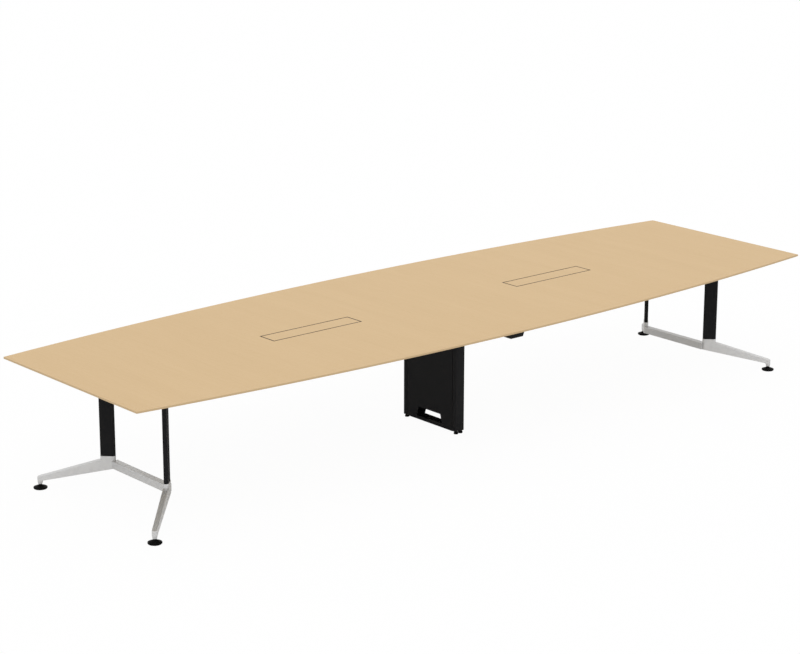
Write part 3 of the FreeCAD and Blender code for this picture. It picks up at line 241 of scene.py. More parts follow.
class Shader(NodeMaker):
    """A material under construction, made of nodes by code."""

    def __init__(self, name: str) -> None:
        """Start an empty material.

        Args:
            name: The material's name.
        """
        self.material = bpy.data.materials.new(name)
        self.material.use_nodes = True
        super().__init__(self.material.node_tree)

    def place(self) -> tuple[Value, ...]:
        """Give the X, Y and Z of each point of the piece."""
        return self._parts("Object")

    def upward(self) -> Value:
        """Give how far the surface faces up, from -1 to 1."""
        return self._parts("Normal")[2]

    def _parts(self, kind: str) -> tuple[Value, ...]:
        """Split one kind of coordinates.

        Args:
            kind: The coordinates' name.

        Returns:
            Their X, Y and Z.
        """
        own = self.node("ShaderNodeTexCoord").outputs[kind]
        parts = self.node("ShaderNodeSeparateXYZ", inputs={0: own})
        return tuple(Value(self, output) for output in parts.outputs)

    def noise(self, stretch: Point, detail: float = 2.0, roughness: float = 0.5) -> Value:
        """Give a noise pattern about the middle of 0 and 1.

        Args:
            stretch: Cells to the metre along X, Y and Z.
            detail: How many finer layers are added.
            roughness: How strong the finer layers are.

        Returns:
            The pattern.
        """
        own = self.node("ShaderNodeTexCoord").outputs["Object"]
        mapping = self.node("ShaderNodeMapping", inputs={"Vector": own, "Scale": stretch})
        texture = self.node(
            "ShaderNodeTexNoise",
            {"noise_dimensions": "3D"},
            {"Vector": mapping.outputs[0], "Scale": 1.0, "Detail": detail, "Roughness": roughness},
        )
        return Value(self, texture.outputs[0])

    def mix(self, share: Number, first: Any, second: Any) -> Socket:
        """Blend two colours.

        Args:
            share: How much of the second colour shows, from 0 to 1.
            first: The colour where the share is 0.
            second: The colour where the share is 1.

        Returns:
            The blended colour's socket.
        """
        node = self.node(
            "ShaderNodeMix", {"data_type": "RGBA"}, {0: share, 6: first, 7: second}
        )
        return node.outputs[2]

    def bump(self, height: Value, distance: float) -> Socket:
        """Turn a pattern into fine relief.

        Args:
            height: The pattern.
            distance: The relief's depth in metres where the pattern goes from 0 to 1.

        Returns:
            The normal's socket.
        """
        node = self.node(
            "ShaderNodeBump", inputs={"Height": height, "Distance": distance, "Strength": 1.0}
        )
        return node.outputs[0]

    def finish(self, **inputs: Any) -> bpy.types.Material:
        """Close the material with one surface shader.

        Args:
            **inputs: The shader's sockets, with underscores for spaces.

        Returns:
            The finished material.
        """
        named = {key.replace("_", " "): value for key, value in inputs.items()}
        surface = self.node("ShaderNodeBsdfPrincipled", inputs=named)
        self.node("ShaderNodeOutputMaterial", inputs={0: surface.outputs[0]})
        return self.material


class Recipe(NodeMaker):
    """A shape under construction, made of geometry nodes and put at every place given."""

    def __init__(self, name: str, sizes: dict[str, float]) -> None:
        """Start a shape.

        Args:
            name: The shape's name.
            sizes: Each size in metres, by the name of its input.
        """
        super().__init__(bpy.data.node_groups.new(name, "GeometryNodeTree"))
        interface = self.tree.interface
        interface.new_socket("Places", in_out="INPUT", socket_type="NodeSocketGeometry")
        interface.new_socket("Pieces", in_out="OUTPUT", socket_type="NodeSocketGeometry")
        self.sizes = sizes
        self.identifiers = {key: self._input(key) for key in sizes}
        self.start = self.node("NodeGroupInput")

    def _input(self, name: str) -> str:
        """Add the input of one size and give its identifier."""
        interface = self.tree.interface
        return interface.new_socket(name, in_out="INPUT", socket_type="NodeSocketFloat").identifier

    def size(self, name: str) -> Value:
        """Give one of the named sizes."""
        return Value(self, self.start.outputs[name])

    def moved(self, shape: Socket, up: Number = 0.0, turn: Point = (0.0, 0.0, 0.0)) -> Socket:
        """Lift a shape along Z, after turning it.

        Args:
            shape: The shape.
            up: How far it goes up.
            turn: Its turns about X, Y and Z in radians.

        Returns:
            The moved shape.
        """
        offset = self.node("ShaderNodeCombineXYZ", inputs={2: up})
        move = self.node(
            "GeometryNodeTransform",
            inputs={"Geometry": shape, "Translation": offset.outputs[0], "Rotation": turn},
        )
        return move.outputs[0]

    def bar(self, radius: Number, height: Value, sides: int, bottom: Number = 0.0) -> Socket:
        """Make an upright bar with flat ends.

        Args:
            radius: Its radius, to the corners where it has flats.
            height: Its height.
            sides: How many sides it has.
            bottom: The height of its lower end.

        Returns:
            The bar.
        """
        bar = self.node(
            "GeometryNodeMeshCylinder",
            inputs={"Vertices": sides, "Radius": radius, "Depth": height},
        )
        return self.moved(bar.outputs["Mesh"], height / 2 + bottom)

    def cone(self, low: Value, high: Value, height: Value, sides: int, bottom: Value) -> Socket:
        """Make an upright bar with a sloping side.

        Args:
            low: Its radius at the lower end.
            high: Its radius at the upper end.
            height: Its height.
            sides: How many sides it has.
            bottom: The height of its lower end.

        Returns:
            The bar.
        """
        cone = self.node(
            "GeometryNodeMeshCone",
            inputs={"Vertices": sides, "Radius Bottom": low, "Radius Top": high, "Depth": height},
        )
        return self.moved(cone.outputs["Mesh"], bottom)

    def block(self, length: Number, width: Number, height: Number, middle: Number) -> Socket:
        """Make a block about the Z axis.

        Args:
            length: Its size along X.
            width: Its size along Y.
            height: Its size along Z.
            middle: The height of its middle.

        Returns:
            The block.
        """
        sizes = self.node("ShaderNodeCombineXYZ", inputs={0: length, 1: width, 2: height})
        cube = self.node("GeometryNodeMeshCube", inputs={"Size": sizes.outputs[0]})
        return self.moved(cube.outputs["Mesh"], middle)

    def dome(self, radius: Value, height: Value, sides: int) -> Socket:
        """Make the upper half of a flattened ball.

        Args:
            radius: Its radius at the base.
            height: Its height.
            sides: How many sides it has.

        Returns:
            The dome, with its base at height 0.
        """
        ball = self.node(
            "GeometryNodeMeshUVSphere",
            inputs={"Segments": sides, "Rings": sides // 2, "Radius": radius},
        )
        flat = self.node("ShaderNodeCombineXYZ", inputs={0: 1.0, 1: 1.0, 2: height / radius})
        pressed = self.node(
            "GeometryNodeTransform",
            inputs={"Geometry": ball.outputs["Mesh"], "Scale": flat.outputs[0]},
        )
        return self.shared(pressed.outputs[0], self.bar(radius * 2, height * 2, SQUARE_SIDES))

    def shared(self, first: Socket, second: Socket) -> Socket:
        """Keep what two shapes share.

        Args:
            first: One shape.
            second: The other shape.

        Returns:
            The shared shape.
        """
        node = self.node("GeometryNodeMeshBoolean", {"operation": "INTERSECT", "solver": "EXACT"})
        self.feed(node.inputs["Mesh 2"], first)
        self.feed(node.inputs["Mesh 2"], second)
        return node.outputs["Mesh"]

    def cut(self, whole: Socket, *tools: Socket) -> Socket:
        """Take shapes out of a whole one.

        Args:
            whole: The whole shape.
            *tools: What is taken out.

        Returns:
            What is left.
        """
        node = self.node(
            "GeometryNodeMeshBoolean",
            {"operation": "DIFFERENCE", "solver": "EXACT"},
            {"Mesh 1": whole},
        )
        for tool in tools:
            self.feed(node.inputs["Mesh 2"], tool)
        return node.outputs["Mesh"]

    def joined(self, *shapes: Socket) -> Socket:
        """Put shapes together as one.

        Args:
            *shapes: The shapes.

        Returns:
            All of them.
        """
        node = self.node("GeometryNodeJoinGeometry")
        for shape in shapes:
            self.feed(node.inputs[0], shape)
        return node.outputs[0]

    def threaded(
        self, radius: Value, length: Value, pitch: Value, turns: Value, bottom: Value
    ) -> Socket:
        """Make an upright threaded bar: a core and the ridge that winds round it.

        Args:
            radius: The radius over the crest.
            length: The bar's length.
            pitch: How far the ridge climbs in a turn.
            turns: How often it goes round.
            bottom: The height of the bar's lower end.

        Returns:
            The bar.
        """
        ridge = pitch * THREAD_DEPTH_SHARE
        path = self.node(
            "GeometryNodeCurveSpiral",
            inputs={
                "Resolution": THREAD_STEPS,
                "Rotations": turns,
                "Start Radius": radius - ridge,
                "End Radius": radius - ridge,
                "Height": turns * pitch,
            },
        )
        level = self.node(
            "GeometryNodeSetCurveNormal", {"mode": "Z_UP"}, {"Curve": path.outputs[0]}
        )
        section = self.node(
            "GeometryNodeCurvePrimitiveCircle",
            inputs={"Resolution": RIDGE_SIDES, "Radius": ridge},
        )
        thread = self.node(
            "GeometryNodeCurveToMesh",
            inputs={
                "Curve": level.outputs[0],
                "Profile Curve": section.outputs["Curve"],
                "Fill Caps": True,
            },
        )
        wound = self.moved(thread.outputs[0], bottom + ridge)
        return self.joined(self.bar(radius - ridge, length, STEM_SIDES, bottom), wound)

    def finish(
        self, shape: Socket, material: bpy.types.Material, places: list[Point], name: str
    ) -> bpy.types.Object:
        """Put the shape at each place and keep the result as a piece with a plain mesh.

        Args:
            shape: The shape.
            material: Its finish.
            places: Where it stands.
            name: The piece's name.

        Returns:
            The piece, at the origin.
        """
        spread = self.node(
            "GeometryNodeInstanceOnPoints",
            inputs={"Points": self.start.outputs["Places"], "Instance": self._shaded(shape)},
        )
        real = self.node("GeometryNodeRealizeInstances", inputs={0: spread.outputs[0]})
        dressed = self.node(
            "GeometryNodeSetMaterial", inputs={"Geometry": real.outputs[0], "Material": material}
        )
        self.node("NodeGroupOutput", inputs={0: dressed.outputs[0]})
        piece = bpy.data.objects.new(name, self._plain_mesh(places, name))
        bpy.context.scene.collection.objects.link(piece)
        return piece

    def _shaded(self, shape: Socket) -> Socket:
        """Let a shape look smooth, apart from its sharp edges.

        Args:
            shape: The shape.

        Returns:
            The shaded shape.
        """
        angle = Value(self, self.node("GeometryNodeInputMeshEdgeAngle").outputs[0])
        smooth = self.node(
            "GeometryNodeSetShadeSmooth",
            {"domain": "FACE"},
            {"Geometry": shape, "Shade Smooth": True},
        )
        edged = self.node(
            "GeometryNodeSetShadeSmooth",
            {"domain": "EDGE"},
            {"Geometry": smooth.outputs[0], "Shade Smooth": SHARP_ANGLE - angle},
        )
        return edged.outputs[0]

    def _plain_mesh(self, places: list[Point], name: str) -> bpy.types.Mesh:
        """Run the finished tree on its places and keep what comes out.

        Args:
            places: Where the shape stands.
            name: The mesh's name.

        Returns:
            The mesh, free of nodes.
        """
        points = bpy.data.meshes.new(f"{name}_places")
        points.from_pydata(places, [], [])
        holder = bpy.data.objects.new(f"{name}_places", points)
        bpy.context.scene.collection.objects.link(holder)
        modifier = holder.modifiers.new(name, "NODES")
        modifier.node_group = self.tree
        for key, value in self.sizes.items():
            modifier[self.identifiers[key]] = value
        seen = holder.evaluated_get(bpy.context.evaluated_depsgraph_get())
        mesh = bpy.data.meshes.new_from_object(seen)
        mesh.name = name
        holder.modifiers.remove(modifier)
        bpy.data.objects.remove(holder)
        return mesh


@dataclass(frozen=True)
class WoodLaminate:
    """A pale, straight-grained wood laminate whose grain runs across the table.

    Attributes:
        name: The material's name.
        pale: The wood between its pores.
        dark: The pores and the darker growth lines.
        edge: The edge strip and the bevel, darker than the face partly in their own tone and
            partly as painted shade on the sides.
        backing: The plain sheet under the board.
        lid_gap_shade: Painted shade along the gaps round the lids: dark strips on the rims of the
            lids and of their seats.
        bands: Broad bands to the metre along X, Y and Z.
        lines: Growth lines to the metre along X, Y and Z.
        pores: Pores to the metre along X, Y and Z.
        pore_limits: Where a pore starts and where it is full, in its pattern.
        band_share: How far the bands darken the face.
        line_share: How far the growth lines darken the face.
        pore_share: How far the pores darken the face.
        pale_share: How much of all that is taken off.
        edge_line_share: How far the growth lines darken the edge.
        slope_limits: How far a surface faces up where the edge's look ends and the face's is full.
        backing_limits: How far a surface faces down where the backing starts and is full.
        relief_depth: Depth of the pores and lines in metres.
        line_relief_share: How high the lines stand for the depth of a pore.
        roughness: How dull the wood is.
        pore_roughness: How much duller the pores are.
        line_roughness: How much duller the growth lines are.
        gloss: The strength of its reflection.
        lid_centre: How far out each lid's middle is.
        gap_reach: Half the length and half the width of the line midway round a lid's gap.
        lid_gap_shade_reach: How far the strips of painted shade go from that line.
        lid_gap_shade_blur: The width over which the painted shade's border fades.
    """

    name: str = "table_wood"
    pale: Colour = srgb(220, 190, 146)
    dark: Colour = srgb(200, 167, 120)
    # Partly the edge band's own tone, partly painted shade: darker than the face to stand for the
    # sides being lit less.
    edge: Colour = srgb(193, 168, 132)
    backing: Colour = srgb(196, 186, 168)
    # Painted shade: the dark colour laid along the gaps round the lids, where shade falls.
    lid_gap_shade: Colour = srgb(52, 34, 20)
    bands: Point = (9.0, 0.9, 9.0)
    lines: Point = (160.0, 3.5, 160.0)
    pores: Point = (900.0, 28.0, 900.0)
    pore_limits: Limits = (0.56, 0.72)
    band_share: float = 0.30
    line_share: float = 0.36
    pore_share: float = 0.30
    pale_share: float = 0.12
    edge_line_share: float = 0.35
    slope_limits: Limits = (0.5, 0.9)
    backing_limits: Limits = (0.97, 0.99)
    relief_depth: float = 0.00006
    line_relief_share: float = 0.4
    roughness: float = 0.50
    pore_roughness: float = 0.10
    line_roughness: float = 0.06
    gloss: float = 0.18
    lid_centre: float = 0.8726
    gap_reach: Limits = (0.29555, 0.05865)
    lid_gap_shade_reach: float = 0.0042
    lid_gap_shade_blur: float = 0.0002

    def make(self) -> bpy.types.Material:
        """Build the material.

        Returns:
            The material.
        """
        shader = Shader(self.name)
        bands = shader.noise(self.bands, detail=3.0)
        lines = shader.noise(self.lines, detail=4.0, roughness=0.6)
        pores = shader.noise(self.pores, detail=2.0).between(*self.pore_limits)
        share = bands * self.band_share + lines * self.line_share + pores * self.pore_share
        face = shader.mix(share - self.pale_share, self.pale, self.dark)
        edge = shader.mix(lines * self.edge_line_share, self.edge, self.dark)
        up = shader.upward()
        # Faces that do not face up take the darker edge colour: partly its own tone, partly
        # painted shade.
        wood = shader.mix(1.0 - up.between(*self.slope_limits), face, edge)
        # Paint shade along the gaps round the lids, over the wood.
        lid_gap_shaded_wood = shader.mix(self._lid_gap_shading(shader), wood, self.lid_gap_shade)
        below = (up * -1.0).between(*self.backing_limits)
        relief = pores * -1.0 + lines * self.line_relief_share
        return shader.finish(
            Base_Color=shader.mix(below, lid_gap_shaded_wood, self.backing),
            Roughness=self.roughness + pores * self.pore_roughness + lines * self.line_roughness,
            Specular_IOR_Level=self.gloss,
            Normal=shader.bump(relief, self.relief_depth),
        )

    def _lid_gap_shading(self, shader: Shader) -> Value:
        """Find the strips of painted shade along the gaps round the lids.

        Args:
            shader: The material under construction.

        Returns:
            1 on a strip of painted shade, 0 off it.
        """
        x, y, _ = shader.place()
        along = x.away_from(0.0).away_from(self.lid_centre) - self.gap_reach[0]
        across = y.away_from(0.0) - self.gap_reach[1]
        off_line = along.or_more(across).away_from(0.0)
        return 1.0 - off_line.between(self.lid_gap_shade_reach - self.lid_gap_shade_blur, self.lid_gap_shade_reach)


@dataclass(frozen=True)
class PowderCoat:
    """A powder-coated steel surface with a very fine orange peel.

    Attributes:
        name: The material's name.
        colour: The coat's colour.
        roughness: How dull it is.
        gloss: The strength of its reflection.
        peel: The peel's cells to the metre.
        peel_depth: Depth of the peel in metres.
        peel_roughness: How much its dullness varies with the peel.
        clouds: Broad clouds to the metre.
        cloud_tint: How much lighter a cloud is.
        cloud_share: How much of that tint shows.
        cloud_roughness: How much its dullness varies with the clouds.
    """

    name: str
    colour: Colour
    roughness: float = 0.50
    gloss: float = 0.02
    peel: Point = evenly(1100.0)
    peel_depth: float = 0.00003
    peel_roughness: float = 0.08
    clouds: Point = evenly(14.0)
    cloud_tint: float = 1.3
    cloud_share: float = 0.5
    cloud_roughness: float = 0.10

    def make(self) -> bpy.types.Material:
        """Build the material.

        Returns:
            The material.
        """
        shader = Shader(self.name)
        peel = shader.noise(self.peel, detail=2.0)
        clouds = shader.noise(self.clouds, detail=3.0)
        lighter = tinted(self.colour, self.cloud_tint)
        dullness = self.roughness + clouds.swing(self.cloud_roughness)
        return shader.finish(
            Base_Color=shader.mix(clouds * self.cloud_share, self.colour, lighter),
            Roughness=dullness + peel.swing(self.peel_roughness),
            Specular_IOR_Level=self.gloss,
            Normal=shader.bump(peel, self.peel_depth),
        )


@dataclass(frozen=True)
class CastAluminium:
    """Polished cast aluminium with the slight unevenness of a casting.

    Attributes:
        name: The material's name.
        colour: The metal's colour.
        roughness: How soft its reflections are.
        metal: How much of it is bare metal; the rest is a matt silver lacquer.
        waves: Broad waves to the metre.
        waviness: Depth of the waves in metres.
        grain: The fine grain's cells to the metre.
        grain_share: The grain's depth as a share of the waves'.
        grain_roughness: How much its reflections vary with the grain.
        stains: Faint stains to the metre.
        stain_limits: Where a stain starts and where it is full, in its pattern.
        stain_tint: How much darker a stain is.
        stain_roughness: How much its reflections vary with the stains.
    """

    name: str = "cast_aluminium"
    colour: Colour = srgb(212, 212, 212)
    roughness: float = 0.42
    metal: float = 0.68
    waves: Point = evenly(26.0)
    waviness: float = 0.00012
    grain: Point = evenly(700.0)
    grain_share: float = 0.10
    grain_roughness: float = 0.08
    stains: Point = evenly(40.0)
    stain_limits: Limits = (0.35, 0.75)
    stain_tint: float = 0.94
    stain_roughness: float = 0.06

    def make(self) -> bpy.types.Material:
        """Build the material.

        Returns:
            The material.
        """
        shader = Shader(self.name)
        waves = shader.noise(self.waves, detail=2.0)
        grain = shader.noise(self.grain, detail=3.0)
        stains = shader.noise(self.stains, detail=4.0, roughness=0.6)
        darker = tinted(self.colour, self.stain_tint)
        softness = self.roughness + stains.swing(self.stain_roughness)
        return shader.finish(
            Base_Color=shader.mix(stains.between(*self.stain_limits), self.colour, darker),
            Metallic=self.metal,
            Roughness=softness + grain.swing(self.grain_roughness),
            Normal=shader.bump(waves + grain * self.grain_share, self.waviness),
        )


@dataclass(frozen=True)
class DrawnMetal:
    """Drawn or plated metal with fine lines along one axis.

    Attributes:
        name: The material's name.
        colour: The metal's colour.
        lines: Lines to the metre along X, Y and Z.
        roughness: How soft its reflections are.
        metal: How much of it is bare metal; the rest is a matt silver lacquer.
        line_tint: How much darker a line is.
        line_share: How much of that tint shows.
        line_roughness: How much its reflections vary with the lines.
        line_depth: Depth of the lines in metres.
    """

    name: str
    colour: Colour
    lines: Point
    roughness: float = 0.30
    metal: float = 1.0
    line_tint: float = 0.82
    line_share: float = 0.6
    line_roughness: float = 0.16
    line_depth: float = 0.00002

    def make(self) -> bpy.types.Material:
        """Build the material.

        Returns:
            The material.
        """
        shader = Shader(self.name)
        lines = shader.noise(self.lines, detail=3.0, roughness=0.6)
        darker = tinted(self.colour, self.line_tint)
        return shader.finish(
            Base_Color=shader.mix(lines * self.line_share, self.colour, darker),
            Metallic=self.metal,
            Roughness=self.roughness + lines.swing(self.line_roughness),
            Normal=shader.bump(lines, self.line_depth),
        )


@dataclass(frozen=True)
class MouldedPlastic:
    """Moulded plastic or rubber with a fine skin, which plain turned dowels share.

    Attributes:
        name: The material's name.
        colour: The plastic's colour.
        roughness: How dull it is.
        skin: Depth of the skin's relief in metres.
        gloss: The strength of its reflection.
        grit: The skin's cells to the metre.
        grit_roughness: How much its dullness varies with the skin.
        scuffs: Scuffs to the metre.
        scuff_limits: Where a scuff starts and where it is full, in its pattern.
        scuff_tint: How much lighter a scuff is.
        scuff_share: How much of that tint shows.
        scuff_roughness: How much duller a scuff is.
    """

    name: str
    colour: Colour
    roughness: float = 0.5
    skin: float = 0.00003
    gloss: float = 0.4
    grit: Point = evenly(1800.0)
    grit_roughness: float = 0.08
    scuffs: Point = evenly(90.0)
    scuff_limits: Limits = (0.5, 0.8)
    scuff_tint: float = 1.4
    scuff_share: float = 0.5
    scuff_roughness: float = 0.12

    def make(self) -> bpy.types.Material:
        """Build the material.

        Returns:
            The material.
        """
        shader = Shader(self.name)
        grit = shader.noise(self.grit, detail=2.0)
        scuffs = shader.noise(self.scuffs, detail=4.0, roughness=0.65).between(*self.scuff_limits)
        lighter = tinted(self.colour, self.scuff_tint)
        dullness = self.roughness + scuffs * self.scuff_roughness
        return shader.finish(
            Base_Color=shader.mix(scuffs * self.scuff_share, self.colour, lighter),
            Roughness=dullness + grit.swing(self.grit_roughness),
            Specular_IOR_Level=self.gloss,
            Normal=shader.bump(grit, self.skin),
        )


class Finish(Enum):
    """Every finish on the table, by the record's material slot."""

    TABLE_WOOD = WoodLaminate()
    DOWEL_WOOD = MouldedPlastic(
        "dowel_wood", srgb(206, 172, 128), roughness=0.7, skin=0.00010, gloss=0.2
    )
    CAST_ALUMINIUM = CastAluminium()
    LOW_BEAM_SILVER = DrawnMetal(
        "low_beam_silver", srgb(212, 212, 212), (260.0, 6.0, 260.0), roughness=0.42, metal=0.5
    )
    COLUMN_BLACK = PowderCoat("column_black", srgb(33, 33, 34))
    BEAM_BLACK = PowderCoat("beam_black", srgb(30, 30, 30), roughness=0.62)
    LEG_BLACK = PowderCoat("leg_black", srgb(38, 38, 39), roughness=0.54)
    CAP_PLASTIC = MouldedPlastic("cap_plastic", srgb(16, 16, 16), roughness=0.55, gloss=0.12)
    GLIDE_PLASTIC = MouldedPlastic("glide_plastic", srgb(9, 9, 9), roughness=0.48, gloss=0.05)
    BLACK_STEEL = PowderCoat("black_steel", srgb(18, 18, 19), roughness=0.40, gloss=0.20)
    BUMPER_RUBBER = MouldedPlastic("bumper_rubber", srgb(34, 34, 34), roughness=0.8, skin=0.00006)
    PIN_STEEL = DrawnMetal("pin_steel", srgb(190, 190, 192), (20.0, 900.0, 900.0), roughness=0.22)
    ZINC_SCREWS = DrawnMetal("zinc_screws", srgb(184, 186, 190), evenly(500.0), roughness=0.32)


class Dresser:
    """Gives every carried-over node the finish of its slot in the record."""

    def __init__(self) -> None:
        """Build each finish once."""
        self.materials = {choice.name.lower(): choice.value.make() for choice in Finish}

    def dress_nodes(self) -> None:
        """Put the right material on every node of the frame."""
        for entry in frame["record"]["subparts"]:
            piece = frame["nodes"][entry["node"]]
            piece.data.materials.clear()
            piece.data.materials.append(self.materials[entry["material_slot"]])
            log.info("%s is dressed in %s", entry["node"], entry["material_slot"])


class Recess(Enum):
    """What the driver of a fastener goes into."""

    CROSS = "cross"
    HEXAGON = "hexagon"


@dataclass(frozen=True)
class Fastener:
    """A stock fastener. Sizes are in millimetres.

    Attributes:
        recess: What the driver goes into.
        head_radius: The head's radius.
        head_height: The head's height.
        recess_width: The recess's width, across its flats or from tip to tip.
        shank_radius: The shank's radius.
    """

    recess: Recess
    head_radius: float
    head_height: float
    recess_width: float
    shank_radius: float


class Stock(Enum):
    """The fasteners that the table takes."""

    WOOD_SCREW = Fastener(
        Recess.CROSS, head_radius=4.5, head_height=2.5, recess_width=4.6, shank_radius=2.25
    )
    CAP_BOLT = Fastener(
        Recess.HEXAGON, head_radius=6.5, head_height=8.0, recess_width=6.0, shank_radius=4.0
    )
    LOW_HEAD_BOLT = Fastener(
        Recess.HEXAGON, head_radius=5.25, head_height=3.3, recess_width=4.0, shank_radius=3.0
    )


@dataclass(frozen=True)
class FastenerSet:
    """All fasteners of one node, put where the node has them.

    Attributes:
        node: The node that the piece stands for.
        piece: The piece's name.
        stock: Which fastener they are.
        head_down: Whether the head is below the shank.
        body: The body that it moves with.
        slot: The material slot of its finish.
    """

    node: str
    piece: str
    stock: Stock
    head_down: bool = True
    body: str = "frame"
    slot: str = "zinc_screws"

    def add(self, dresser: Dresser) -> bpy.types.Object:
        """Make the piece and let it stand for its node.

        Args:
            dresser: The holder of the finishes.

        Returns:
            The piece.
        """
        fastener = self.stock.value
        seats, length = self._places()
        sizes = {
            "Head Radius": fastener.head_radius * MILLIMETRE,
            "Head Height": fastener.head_height * MILLIMETRE,
            "Recess Width": fastener.recess_width * MILLIMETRE,
            "Shank Radius": fastener.shank_radius * MILLIMETRE,
            "Shank Length": length,
        }
        recipe = Recipe(self.piece, sizes)
        make_head = self._pan_head if fastener.recess is Recess.CROSS else self._socket_head
        whole = recipe.joined(make_head(recipe), self._shank(recipe))
        turn = (math.pi, 0.0, 0.0) if self.head_down else (0.0, 0.0, 0.0)
        turned = recipe.moved(whole, turn=turn)
        piece = recipe.finish(turned, dresser.materials[self.slot], seats, self.piece)
        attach(piece, self.body)
        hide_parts(self.node)
        log.info("%s: %d fasteners, %d faces", self.piece, len(seats), len(piece.data.polygons))
        return piece

    def _places(self) -> tuple[list[Point], float]:
        """Measure the fasteners in the node's own mesh.

        Returns:
            The middle of each head's seat, and the length of a shank.
        """
        head = self.stock.value.head_height * MILLIMETRE
        boxes = [box_of(points) for points in self._parted()]
        seats = []
        for low, high in boxes:
            level = low[2] + head if self.head_down else high[2] - head
            seats.append(((low[0] + high[0]) / 2, (low[1] + high[1]) / 2, level))
        return seats, max(high[2] - low[2] for low, high in boxes) - head

    def _parted(self) -> list[list[Point]]:
        """Part the points of the node's mesh, fastener by fastener.

        Returns:
            The points of each fastener.
        """
        spread = self.stock.value.head_radius * SPREAD_SHARE * MILLIMETRE
        groups: list[list[Point]] = []
        for vertex in frame["nodes"][self.node].data.vertices:
            point = tuple(vertex.co)
            near = [group for group in groups if math.dist(point[:2], group[0][:2]) < spread]
            if near:
                near[0].append(point)
            else:
                groups.append([point])
        return groups

    def _pan_head(self, recipe: Recipe) -> Socket:
        """Make a domed head with a cross recess.

        Args:
            recipe: The shape under construction.

        Returns:
            The head, on its seat.
        """
        height, width = recipe.size("Head Height"), recipe.size("Recess Width")
        dome = recipe.dome(recipe.size("Head Radius"), height, HEAD_SIDES)
        wing, middle = width * CROSS_WING_SHARE, height * (RECESS_FLOOR_SHARE + 0.5)
        lengthwise = recipe.block(width, wing, height, middle)
        crosswise = recipe.block(wing, width, height, middle)
        return recipe.cut(dome, lengthwise, crosswise)

    def _socket_head(self, recipe: Recipe) -> Socket:
        """Make a straight-sided head with a chamfer and a hexagonal recess.

        Args:
            recipe: The shape under construction.

        Returns:
            The head, on its seat.
        """
        height, radius = recipe.size("Head Height"), recipe.size("Head Radius")
        straight = recipe.bar(radius, height, HEAD_SIDES)
        edge, past = radius - height * CHAMFER_SHARE, height * CUTTER_OVERRUN_SHARE
        wide, narrow, reach = edge + height + past, edge - past, height + past * 2.0
        sloped = recipe.cone(wide, narrow, reach, HEAD_SIDES, past * -1.0)
        corner = recipe.size("Recess Width") / math.sqrt(3)
        key = recipe.bar(corner, height, HEXAGON_SIDES, height * RECESS_FLOOR_SHARE)
        return recipe.cut(recipe.shared(straight, sloped), key)

    def _shank(self, recipe: Recipe) -> Socket:
        """Make the shank, below the seat."""
        length = recipe.size("Shank Length")
        return recipe.bar(recipe.size("Shank Radius"), length, SHANK_SIDES, length * -1.0)


@dataclass(frozen=True)
class LevellingStem:
    """The screwed stem of one levelling glide or adjuster. Sizes are in millimetres.

    Attributes:
        node: The node that the piece stands for, which is also its body.
        flats: The hexagon's width across its flats.
        hexagon_height: The hexagon's height.
        radius: The thread's radius over its crest.
        pitch: The thread's pitch.
        pivot_radius: The radius of the plain end in the pad.
        pivot_depth: How deep that end goes into the pad.
        slot: The material slot of its finish.
    """

    node: str
    flats: float
    hexagon_height: float
    radius: float
    pitch: float
    pivot_radius: float
    pivot_depth: float
    slot: str = "black_steel"

    def add(self, dresser: Dresser) -> bpy.types.Object:
        """Make the piece and let it stand for its node.

        Args:
            dresser: The holder of the finishes.

        Returns:
            The piece.
        """
        low, high = box_of(vertex.co for vertex in frame["nodes"][self.node].data.vertices)
        depth, hexagon = self.pivot_depth * MILLIMETRE, self.hexagon_height * MILLIMETRE
        sizes = {
            "Hexagon Radius": self.flats * MILLIMETRE / math.sqrt(3),
            "Hexagon Height": hexagon,
            "Thread Radius": self.radius * MILLIMETRE,
            "Thread Length": high[2] - low[2] - depth - hexagon,
            "Pitch": self.pitch * MILLIMETRE,
            "Pivot Radius": self.pivot_radius * MILLIMETRE,
            "Pivot Depth": depth,
        }
        name = f"{self.node}_threaded"
        recipe = Recipe(name, sizes)
        whole = recipe.joined(self._hexagon(recipe), self._thread(recipe), self._pivot(recipe))
        seat = ((low[0] + high[0]) / 2, (low[1] + high[1]) / 2, low[2] + depth)
        piece = recipe.finish(whole, dresser.materials[self.slot], [seat], name)
        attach(piece, self.node)
        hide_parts(self.node)
        log.info("%s: one stem, %d faces", name, len(piece.data.polygons))
        return piece

    def _hexagon(self, recipe: Recipe) -> Socket:
        """Make the spanner's hexagon, its corners chamfered above and below.

        Args:
            recipe: The shape under construction.

        Returns:
            The hexagon, on the pad.
        """
        height, radius = recipe.size("Hexagon Height"), recipe.size("Hexagon Radius")
        prism = recipe.bar(radius, height, HEXAGON_SIDES)
        rim, past = radius * HEXAGON_RIM_SHARE, height * CUTTER_OVERRUN_SHARE
        wide, narrow, reach = rim + height + past, rim - past, height + past * 2.0
        upper = recipe.cone(wide, narrow, reach, STEM_SIDES, past * -1.0)
        lower = recipe.cone(narrow, wide, reach, STEM_SIDES, past * -1.0)
        return recipe.shared(recipe.shared(prism, upper), lower)

    def _thread(self, recipe: Recipe) -> Socket:
        """Make the threaded bar, whose ridge ends just short of its upper end.

        Args:
            recipe: The shape under construction.

        Returns:
            The bar, on the hexagon.
        """
        length, pitch = recipe.size("Thread Length"), recipe.size("Pitch")
        turns = length / pitch - 1.0
        bottom = recipe.size("Hexagon Height")
        return recipe.threaded(recipe.size("Thread Radius"), length, pitch, turns, bottom)

    def _pivot(self, recipe: Recipe) -> Socket:
        """Make the plain end that turns in the pad."""
        depth = recipe.size("Pivot Depth")
        return recipe.bar(recipe.size("Pivot Radius"), depth, STEM_SIDES, depth * -1.0)


